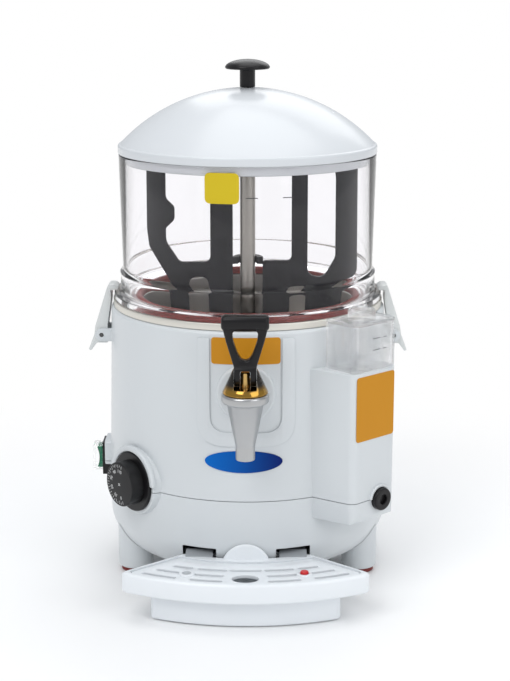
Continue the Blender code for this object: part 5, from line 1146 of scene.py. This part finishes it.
def makeDrain():
    size = drainSize
    out = outward(place["podTurn"])[0]
    edge, thick = size["edge"], size["thick"]
    low = podSize["reach"] + place["fit"]
    profile = [(0, -size["barrelLong"]), (size["barrel"] - edge, -size["barrelLong"]),
               (size["barrel"], -size["barrelLong"] + edge), (size["barrel"], 0), (size["flange"], 0),
               *shoulder(size["flange"], thick, edge, 6)]
    profile += bow((size["recess"] + edge / 2, thick - edge / 2), edge / 2, 90, 180, 4)
    profile += [(size["recess"], thick - size["recessDeep"]), (0, thick - size["recessDeep"])]
    plug = spun("drainPlug", profile, 64, onCasing(place["podTurn"], low, size["height"], size["offset"]),
                out)
    finished(plug, "plug", "black", ["drain_plug"], 40)
    print("drain plug ready")


# Clear reservoir on the pod
reservoirSize = {
    "low": 0.2103, "high": 0.2503, "wall": 0.002, "corner": 0.0065, "back": 0.12684, "half": 0.026,
    "front": 0.1625, "edge": 0.0016, "spigot": 0.006, "spigotBore": 0.0035, "spigotLow": 0.2023,
    "capLow": 0.2506, "capThick": 0.0027, "dome": 0.012, "domeTall": 0.009, "domeRound": 0.0032,
}


def reservoirOutline(inset):
    size = reservoirSize
    half, back, front = size["half"] - inset, size["back"] + inset, size["front"] - inset
    corner = size["corner"] - inset
    return rounded([(-half, back, 0), (-half, front, corner), (half, front, corner), (half, back, 0)], 8)


def makeReservoir():
    size = reservoirSize
    out, along = outward(place["podTurn"])
    middle = onCasing(place["podTurn"], podSize["middle"], 0)
    tank = plate("waterReservoir", reservoirOutline(0), size["high"] - size["low"], (),
                 (0, axisY, size["low"]), along, out)
    softened(tank, size["edge"], 3, 50)
    room = plate("reservoirRoom", reservoirOutline(size["wall"]), size["high"] - size["low"], (),
                 (0, axisY, size["low"] + size["wall"]), along, out)
    cut(tank, room)
    spigot = rod("reservoirSpigot", size["spigot"], size["spigotLow"], size["low"] + 0.001, 48, middle)
    added(tank, spigot)
    bore = rod("spigotBore", size["spigotBore"], 0.20, 0.214, 48, middle)
    cut(tank, bore)
    finished(tank, "machine", "tank", ["water_reservoir"], 40)

    low, top = size["capLow"], size["capLow"] + size["capThick"]
    cap = plate("reservoirLid", reservoirOutline(0), size["capThick"], (), (0, axisY, low), along, out)
    softened(cap, 0.0009, 3, 50)
    domeTop, domeRound = top + size["domeTall"], size["domeRound"]
    profile = [(0, low + 0.001), (size["dome"], low + 0.001)]
    profile += shoulder(size["dome"], domeTop, domeRound, 8)
    profile += [(0, domeTop)]
    added(cap, spun("fillerDome", profile, 64, middle))
    finished(cap, "filler_lid", "tank", ["reservoir_lid"], 40)

    face = onCasing(place["podTurn"], size["front"], 0)
    marks = []
    for height in (0.2385, 0.2285):
        for start, end in ((-0.004, 0.0045), (0.0085, 0.0125)):
            marks.append(markPlate("reservoirLine", ((start + end) / 2, height), 0, end - start, 0.0006, face,
                                   along, up, out))
    finished(joined("reservoirLines", marks), "machine", "darkPrint")
    print("reservoir ready")


# Drip tray with grid and float
traySize = {
    "front": 0.192, "cornerX": 0.109, "cornerY": 0.163, "rearX": 0.055, "cornerRound": 0.009, "rear": 0.1292,
    "rimTop": 0.044, "rimTall": 0.018, "rimWall": 0.004, "ledge": 0.003, "deck": 0.009, "rimFloor": 0.003,
    "baseLow": 0.001, "baseWall": 0.003, "baseInset": 0.0135, "baseRear": 0.002, "floor": 0.0025,
    "rimEdge": 0.0032, "baseEdge": 0.0028, "tongueHalf": 0.012, "tongueX": 0.041, "tongueThick": 0.0035,
    "tongueRise": 0.0028, "tongueInside": 0.009, "tab": 0.0216, "tabTop": 0.057, "tabThick": 0.003,
}
gridSize = {
    "thick": 0.003, "bossRise": 0.0012, "side": 0.0008, "slot": 0.004, "hole": 0.0115, "holeDeep": 0.0085,
    "holeY": 0.174,
    "boss": 0.0068, "floatX": 0.050, "floatY": 0.164, "floatPin": 0.0035, "floatHole": 0.0041,
    "floatDisc": 0.009, "floatLow": 0.0293, "floatDiscTop": 0.0343, "floatTop": 0.046,
}
gridRows = [(0.0524, ((0.096, 0.206), (0.275, 0.395))), (0.1071, ((0.092, 0.204), (0.257, 0.340))),
            (0.1642, ((0.081, 0.179), (0.214, 0.276)))]
gridCentreSpan = 0.055


def trayArc():
    size = traySize
    sagitta = size["front"] - size["cornerY"]
    radius = (size["cornerX"] ** 2 + sagitta ** 2) / (2 * sagitta)
    return -size["front"] + radius, radius


def trayOutline(inset, rearRadius, steps=40):
    # front arc, rounded corners, straight rear edges, then an arc that follows the casing
    size = traySize
    centreY, radius = trayArc()
    radius -= inset
    rear = Vector((size["rearX"], -math.sqrt(size["rear"] ** 2 - size["rearX"] ** 2)))
    corner = Vector((size["cornerX"], -size["cornerY"]))
    along = (rear - corner).normalized()
    normal = Vector((along.y, -along.x))
    if normal.x > 0:
        normal = -normal
    start = corner + normal * inset
    offset = start - Vector((0, centreY))
    back = -offset.dot(along) - math.sqrt(offset.dot(along) ** 2 - offset.length_squared + radius ** 2)
    frontCorner = start + along * back
    ahead = -start.dot(along) - math.sqrt(start.dot(along) ** 2 - start.length_squared + rearRadius ** 2)
    rearCorner = start + along * ahead
    turn = size["cornerRound"]
    edgeAngle = math.degrees(math.atan2(frontCorner.x, centreY - frontCorner.y))
    trim = math.degrees(turn / radius)
    front = bow((0, centreY), radius, -90 - edgeAngle + trim, -90 + edgeAngle - trim, steps)
    touch = frontCorner + along * turn
    last = Vector(front[-1])
    curve = []
    for step in range(1, 9):
        share = step / 8
        spot = last * (1 - share) ** 2 + frontCorner * 2 * share * (1 - share) + touch * share ** 2
        curve.append((spot.x, spot.y))
    rearAngle = math.degrees(math.atan2(rearCorner.x, -rearCorner.y))
    rearArc = bow((0, 0), rearRadius, -90 + rearAngle, -90 - rearAngle, steps)
    return [(-across, back) for across, back in reversed(curve)] + front + curve + rearArc


def flatSlab(name, outline, low, high, holes=()):
    return plate(name, outline, high - low, holes, (0, axisY, high), (1, 0, 0), (0, 1, 0))


def makeTray():
    size = traySize
    top = size["rimTop"]
    rimLow = top - size["rimTall"]
    rearDeck = size["rear"] + size["deck"]
    tray = softened(flatSlab("dripTray", trayOutline(0, size["rear"]), rimLow, top), size["rimEdge"], 4, 50)
    base = flatSlab("trayBase", trayOutline(size["baseInset"], size["rear"] + size["baseRear"]),
                    size["baseLow"], rimLow + size["rimFloor"] / 2)
    added(tray, softened(base, size["baseEdge"], 3, 50))
    ledgeRear = rearDeck + size["ledge"]
    basinRear = max(size["rear"] + size["baseRear"] + size["baseWall"], ledgeRear)
    basin = flatSlab("trayBasin", trayOutline(size["baseInset"] + size["baseWall"], basinRear + place["fit"]),
                     size["baseLow"] + size["floor"], top - size["rimWall"])
    cut(tray, basin)
    well = flatSlab("trayWell", trayOutline(size["rimWall"] + size["ledge"], ledgeRear),
                    rimLow + size["rimFloor"], top + place["past"])
    cut(tray, well)
    seatLow = top - gridSize["bossRise"] - gridSize["thick"] - place["fit"]
    seat = flatSlab("traySeat", trayOutline(size["rimWall"], rearDeck), seatLow, top + place["past"])
    cut(tray, seat)

    high = top + size["tongueRise"]
    outerX = size["tongueX"] + size["tongueHalf"]
    innerX = size["tongueX"] - size["tongueHalf"]
    end = -math.sqrt((place["casingRadius"] - casingSize["wall"]) ** 2 - innerX ** 2) + size["tongueInside"]
    foot = -math.sqrt(rearDeck ** 2 - outerX ** 2) + place["fit"]
    rampTop = -math.sqrt(size["rear"] ** 2 - outerX ** 2) + size["tongueRise"]
    thick = size["tongueThick"]
    view = rounded([(foot, top, 0.001), (foot, top - thick, 0), (rampTop, top - thick, 0),
                    (rampTop, high - thick, 0),
                    (end, high - thick, 0.0008), (end, high, 0.0012), (rampTop, high, 0.002)])
    # the tongues take the grey finish, which is painted shade on the same white plastic as the tray
    for side, tail in ((-1, "Left"), (1, "Right")):
        tongue = plate("trayTongue" + tail, view, 2 * size["tongueHalf"], (),
                       (side * size["tongueX"] + size["tongueHalf"], axisY, 0), (0, 1, 0), up)
        finished(softened(tongue, 0.0006, 2, 50), "tray", "tongue",
                 ["drip_tray"], 35)
    middle = size["tabTop"] - size["tab"]
    turn = math.degrees(math.asin((top - size["rimFloor"] - middle) / size["tab"]))
    tab = plate("trayTab", bow((0, middle), size["tab"], turn, 180 - turn, 40), size["tabThick"], (),
                (0, axisY - size["rear"] - size["tabThick"], 0))
    added(tray, softened(tab, 0.0012, 4, 50))
    finished(tray, "tray", "tray", ["drip_tray"], 35)
    print("tray ready")

    size = gridSize
    low = top - size["bossRise"] - size["thick"]
    high = low + size["thick"]
    centreY, radius = trayArc()
    outline = trayOutline(traySize["rimWall"] + size["side"], rearDeck + size["side"])
    half = size["slot"] / 2

    def slot(inset, first, last):
        middle = radius * (1 - inset)
        start = math.degrees(math.asin(first * radius / middle)) - 90
        end = math.degrees(math.asin(last * radius / middle)) - 90
        tipTurn = math.radians(end)
        tip = (middle * math.cos(tipTurn), centreY + middle * math.sin(tipTurn))
        tailTurn = math.radians(start)
        tail = (middle * math.cos(tailTurn), centreY + middle * math.sin(tailTurn))
        points = bow((0, centreY), middle + half, start, end, 10)
        points += bow(tip, half, end + 20, end + 160, 6)
        points += bow((0, centreY), middle - half, end, start, 10)
        return points + bow(tail, half, start + 200, start + 340, 6)

    holes = []
    for inset, spans in gridRows:
        for first, last in spans:
            holes.append(slot(inset, first, last))
            holes.append(slot(inset, -last, -first))
    holes.append(slot(gridRows[-1][0], -gridCentreSpan, gridCentreSpan))
    holes.append([(size["hole"] * math.cos(turn), size["holeDeep"] * math.sin(turn) - size["holeY"])
                  for turn in (math.tau * step / 48 for step in range(48))])
    grid = softened(flatSlab("dripGrid", outline, low, high, holes), 0.0004, 2, 50)
    for side in (-1, 1):
        spot = (side * size["floatX"], axisY - size["floatY"], 0)
        bossTop = high + size["bossRise"]
        boss = spun("gridBoss", [(0, low + 0.001), (size["boss"], low + 0.001), (size["boss"], high),
                                 *bow((size["boss"] - 0.001, bossTop - 0.001), 0.001, 0, 90, 5),
                                 (0, bossTop)],
                    48, spot)
        added(grid, boss)
        hole = rod("floatHole", size["floatHole"], 0.035, 0.048, 48, spot)
        cut(grid, hole)
    finished(grid, "grid", "tray", ["drip_grid"], 35)

    spot = (size["floatX"], axisY - size["floatY"], 0)
    pin, edge = size["floatPin"], 0.0009
    profile = [(0, size["floatLow"]), (size["floatDisc"], size["floatLow"]),
               (size["floatDisc"], size["floatDiscTop"]),
               (pin, size["floatDiscTop"]), *shoulder(pin, size["floatTop"], edge, 6),
               (0, size["floatTop"])]
    finished(spun("trayFloat", profile, 48, spot), "float", "red", ["tray_float"],
             40)
    print("grid and float ready")


# Legs, feet and cable gland
footSize = {
    "circle": 0.1115, "leg": 0.016, "legLow": 0.0043, "legTop": 0.055, "legEdge": 0.0025, "foot": 0.0135,
    "footTall": 0.004, "footEdge": 0.0012,
}
legTurns = {"front_left": -68, "front_right": 68, "rear_left": -132, "rear_right": 132}
glandSize = {"height": 0.060, "radius": 0.0085, "long": 0.010, "flange": 0.011, "flangeThick": 0.003,
             "bore": 0.004, "tip": 0.006, "tail": 0.013, "edge": 0.0006}


def makeLegs():
    size = footSize
    for word, azimuth in legTurns.items():
        spot = onCasing(azimuth, size["circle"], 0)
        edge = size["legEdge"]
        profile = [(0, size["legLow"]), *heel(size["leg"], size["legLow"], edge, 5),
                   (size["leg"], size["legTop"]), (0, size["legTop"])]
        leg = spun(word + "Leg", profile, 64, spot)
        cut(leg, casingRound("legSeat", -place["fit"]))
        wall = rod("legWall", place["casingRadius"], -0.01, 0.1, casingSize["steps"], (0, axisY, 0))
        combined(leg, wall, "INTERSECT")
        finished(leg, "machine", "casing", [word + "_leg"], 35)
        edge = size["footEdge"]
        profile = [(0, 0), *bow((size["foot"] - edge, edge), edge, -90, 0, 5),
                   (size["foot"], size["footTall"]),
                   (0, size["footTall"])]
        foot = spun(word + "Foot", profile, 64, spot)
        finished(foot, "machine", "foot", [word + "_foot"], 40)
    size = glandSize
    edge = size["edge"]
    profile = [(size["bore"], -size["tail"]), (size["radius"], -size["tail"]), (size["radius"], 0),
               (size["flange"], 0), *shoulder(size["flange"], size["flangeThick"], edge, 4)]
    for rib in range(3):
        start = size["flangeThick"] + size["long"] * rib / 3
        reach = size["radius"] + (size["tip"] - size["radius"]) * rib / 3
        profile += [(reach - 0.0008, start), (reach, start + 0.0004), (reach - 0.0004, start + 0.0022),
                    (reach - 0.0012, start + 0.0026)]
    end = size["flangeThick"] + size["long"]
    profile += [(size["tip"] - 0.0004, end - 0.0004), (size["tip"] - 0.0008, end), (size["bore"], end)]
    gland = spun("cableGland", profile, 48, onCasing(180, place["casingRadius"] + place["fit"],
                                                     size["height"]),
                 outward(180)[0], closed=True)
    finished(gland, "machine", "black", ["cable_gland"], 40)
    print("legs, feet and gland ready")


# Labels, badge and sticker, all plain
labelSize = {
    "frontHalf": 0.0295, "frontLow": 0.2168, "frontHigh": 0.2398, "frontRound": 0.003, "rise": 0.00028,
    "badgeX": -0.0020, "badgeHalf": 0.0335, "badgeTall": 0.00975, "badgeHeight": 0.131, "badgeRise": 0.0009,
    "sideHalf": 0.023, "sideLow": 0.150, "sideHigh": 0.207, "sideRound": 0.003,
    "stickerX": -0.020, "stickerHalf": 0.0145, "stickerLow": 0.352, "stickerHigh": 0.378,
    "stickerRound": 0.005,
    "levelHeight": 0.357, "levelTall": 0.0006, "prismStart": 0.2, "prismDeep": 0.12,
}


def bowlRadiusAt(height):
    low = place["bowlFoot"] + bowlSize["skirtHeight"]
    share = (height - low) / (place["bowlTop"] - low)
    return bowlSize["foot"] + (bowlSize["rim"] - bowlSize["foot"]) * share


def skinOn(name, outline, radiusAt, rise, steps=160):
    # a thin curved label: a skin on the round wall, cut to the outline as seen from the front
    low = min(height for across, height in outline) - 0.002
    high = max(height for across, height in outline) + 0.002
    profile = [(radiusAt(low) - 0.0005, low), (radiusAt(low) + rise, low), (radiusAt(high) + rise, high),
               (radiusAt(high) - 0.0005, high)]
    skin = spun(name, profile, steps, (0, axisY, 0), closed=True)
    prism = plate(name + "Prism", outline, labelSize["prismDeep"], (),
                  (0, axisY - labelSize["prismStart"], 0))
    return combined(skin, prism, "INTERSECT")


def makeLabels():
    size = labelSize
    outline = roundedBox(size["frontHalf"], size["frontLow"], size["frontHigh"], size["frontRound"])
    label = skinOn("frontLabel", outline, casingRadiusAt, size["rise"], casingSize["steps"])
    finished(label, "machine", "orange")
    oval = [(size["badgeX"] + size["badgeHalf"] * math.cos(turn),
             size["badgeHeight"] + size["badgeTall"] * math.sin(turn))
            for turn in (math.tau * step / 64 for step in range(64))]
    badge = skinOn("frontBadge", oval, casingRadiusAt, size["badgeRise"], casingSize["steps"])
    finished(softened(badge, 0.0004, 3, 50), "machine", "badge")
    out, along = outward(place["podTurn"])
    low, high = size["sideLow"], size["sideHigh"]
    outline = roundedBox(size["sideHalf"], low, high, size["sideRound"])
    spot = onCasing(place["podTurn"], podSize["reach"] + size["rise"], 0)
    label = plate("sideLabel", outline, 2 * size["rise"], (), spot, along, up)
    finished(label, "machine", "orange")
    middle = size["stickerX"]
    outline = [(middle + across, height) for across, height in
               roundedBox(size["stickerHalf"], size["stickerLow"], size["stickerHigh"], size["stickerRound"])]
    sticker = skinOn("bowlSticker", outline, bowlRadiusAt, size["rise"], bowlSize["steps"])
    finished(sticker, "machine", "yellow")
    dashes = []
    for start, end in ((0.0, 0.010), (0.031, 0.041)):
        low = size["levelHeight"] - size["levelTall"] / 2
        outline = [(start, low), (end, low), (end, low + size["levelTall"]), (start, low + size["levelTall"])]
        dashes.append(skinOn("levelDash", outline, bowlRadiusAt, size["rise"] / 2, bowlSize["steps"]))
    finished(joined("levelDashes", dashes), "machine", "darkPrint")
    print("labels ready")


# CAD nodes that keep their shape, with their finish
keptNodes = {
    "lid_knob_screw": "steel", "drive_shaft": "steel", "shaft_seal": "gasket", "gear_motor": "paintedSteel",
    "motor_bracket": "steel", "heating_element": "steel", "tap_gasket": "black", "tap_nut": "brass",
    "tap_seat_cup": "gasket", "tap_spring": "steel", "thermostat_body": "paintedSteel",
    "drain_socket": "steel",
    "lever_pin": "steel",
}


def dressNodes():
    for name, finish in keptNodes.items():
        node = nodes[name]
        node.data.materials.clear()
        node.data.materials.append(finishes[finish])
    print("kept nodes dressed")


makeLid()
makeBowl()
makeBath()
makeMixer()
makeCasing()
makeTap()
makeLever()
makeLatches()
makeDial()
makeSwitch()
makeDrain()
makeReservoir()
makeTray()
makeLegs()
makeLabels()
dressNodes()


# Stage, lights and camera
# from fadeStart to fadeEnd around the object the floor turns plain white
stageSize = {
    "floorHalf": 6.0, "fadeStart": 0.26, "fadeEnd": 0.60, "roomColour": (0.90, 0.93, 0.97, 1),
    "roomLight": 0.55,
    "aimHeight": 0.22,
}
cameraSize = {"x": 0.0185, "away": 1.400, "height": 0.5438, "pitch": 76.5, "yaw": 0.483, "lens": 82.1}
lampSet = [
    # name, place, width, depth, power
    ("softKey", (-0.9, -1.5, 1.9), 1.3, 1.3, 20),
    ("softFill", (1.4, -1.3, 1.1), 1.2, 1.2, 9),
    ("topPanel", (0.1, 0.2, 2.1), 1.6, 1.6, 14),
    ("rearPanel", (0.3, 1.5, 1.4), 1.6, 1.0, 7),
]


def seenRayMix(material, shown, other, kinds):
    # rays of the named kinds see the shown shader, the light of the scene sees the other one
    path = addNode(material, "ShaderNodeLightPath")
    seen = path.outputs[kinds[0]]
    for kind in kinds[1:]:
        either = addNode(material, "ShaderNodeMath", operation="MAXIMUM")
        join(material, seen, either.inputs[0])
        join(material, path.outputs[kind], either.inputs[1])
        seen = either.outputs[0]
    blend = addNode(material, "ShaderNodeMixShader")
    join(material, seen, blend.inputs["Fac"])
    join(material, other, blend.inputs[1])
    join(material, shown, blend.inputs[2])
    return blend.outputs["Shader"]


def makeStage():
    size = stageSize
    leaveEdit()
    bpy.ops.object.select_all(action="DESELECT")
    bpy.ops.mesh.primitive_plane_add(size=2 * size["floorHalf"], location=(0, 0, 0))
    floor = bpy.context.object
    floor.name = floor.data.name = "paleFloor"
    finish = newFinish("pale_floor", (0.93, 0.93, 0.93), 0.7)
    varyColour(finish, noiseOf(finish, 3, 2.0), (0.93, 0.93, 0.93), (0.925, 0.925, 0.925))
    spot = addNode(finish, "ShaderNodeTexCoord")
    distance = addNode(finish, "ShaderNodeVectorMath", operation="LENGTH")
    share = addNode(finish, "ShaderNodeMapRange")
    share.inputs["From Min"].default_value = size["fadeStart"]
    share.inputs["From Max"].default_value = size["fadeEnd"]
    white = addNode(finish, "ShaderNodeEmission", Strength=1.0)
    blend = addNode(finish, "ShaderNodeMixShader")
    shader = finish.node_tree.nodes["Principled BSDF"]
    join(finish, spot.outputs["Object"], distance.inputs[0])
    join(finish, distance.outputs["Value"], share.inputs["Value"])
    join(finish, share.outputs["Result"], blend.inputs["Fac"])
    join(finish, shader.outputs["BSDF"], blend.inputs[1])
    join(finish, white.outputs["Emission"], blend.inputs[2])
    seen = seenRayMix(finish, blend.outputs["Shader"], shader.outputs["BSDF"],
                      ("Is Camera Ray", "Is Transmission Ray", "Is Glossy Ray"))
    join(finish, seen, finish.node_tree.nodes["Material Output"].inputs["Surface"])
    floor.data.materials.append(finish)
    world = bpy.data.worlds.new("paleRoom")
    bpy.context.scene.world = world
    world.use_nodes = True
    background = world.node_tree.nodes["Background"]
    background.inputs["Color"].default_value = size["roomColour"]
    background.inputs["Strength"].default_value = size["roomLight"]
    white = addNode(world, "ShaderNodeBackground", Color=(1, 1, 1, 1), Strength=1.0)
    seen = seenRayMix(world, white.outputs["Background"], background.outputs["Background"],
                      ("Is Camera Ray", "Is Transmission Ray"))
    join(world, seen, world.node_tree.nodes["World Output"].inputs["Surface"])

    for name, spot, wide, deep, power in lampSet:
        bpy.ops.object.light_add(type="AREA", location=spot)
        lamp = bpy.context.object
        lamp.name = lamp.data.name = name
        lamp.data.shape = "RECTANGLE"
        lamp.data.size, lamp.data.size_y = wide, deep
        lamp.data.energy = power
        aim = Vector((0, 0, size["aimHeight"])) - Vector(spot)
        lamp.rotation_euler = aim.to_track_quat("-Z", "Y").to_euler()

    size = cameraSize
    bpy.ops.object.camera_add(location=(size["x"], axisY - size["away"], size["height"]),
                              rotation=(math.radians(size["pitch"]), 0, math.radians(size["yaw"])))
    camera = bpy.context.object
    camera.data.lens = size["lens"]
    camera.data.sensor_fit = "AUTO"
    camera.data.sensor_width = 36
    bpy.context.scene.camera = camera
    bpy.context.scene.view_settings.view_transform = "Standard"
    print("stage, lights and camera ready")


makeStage()
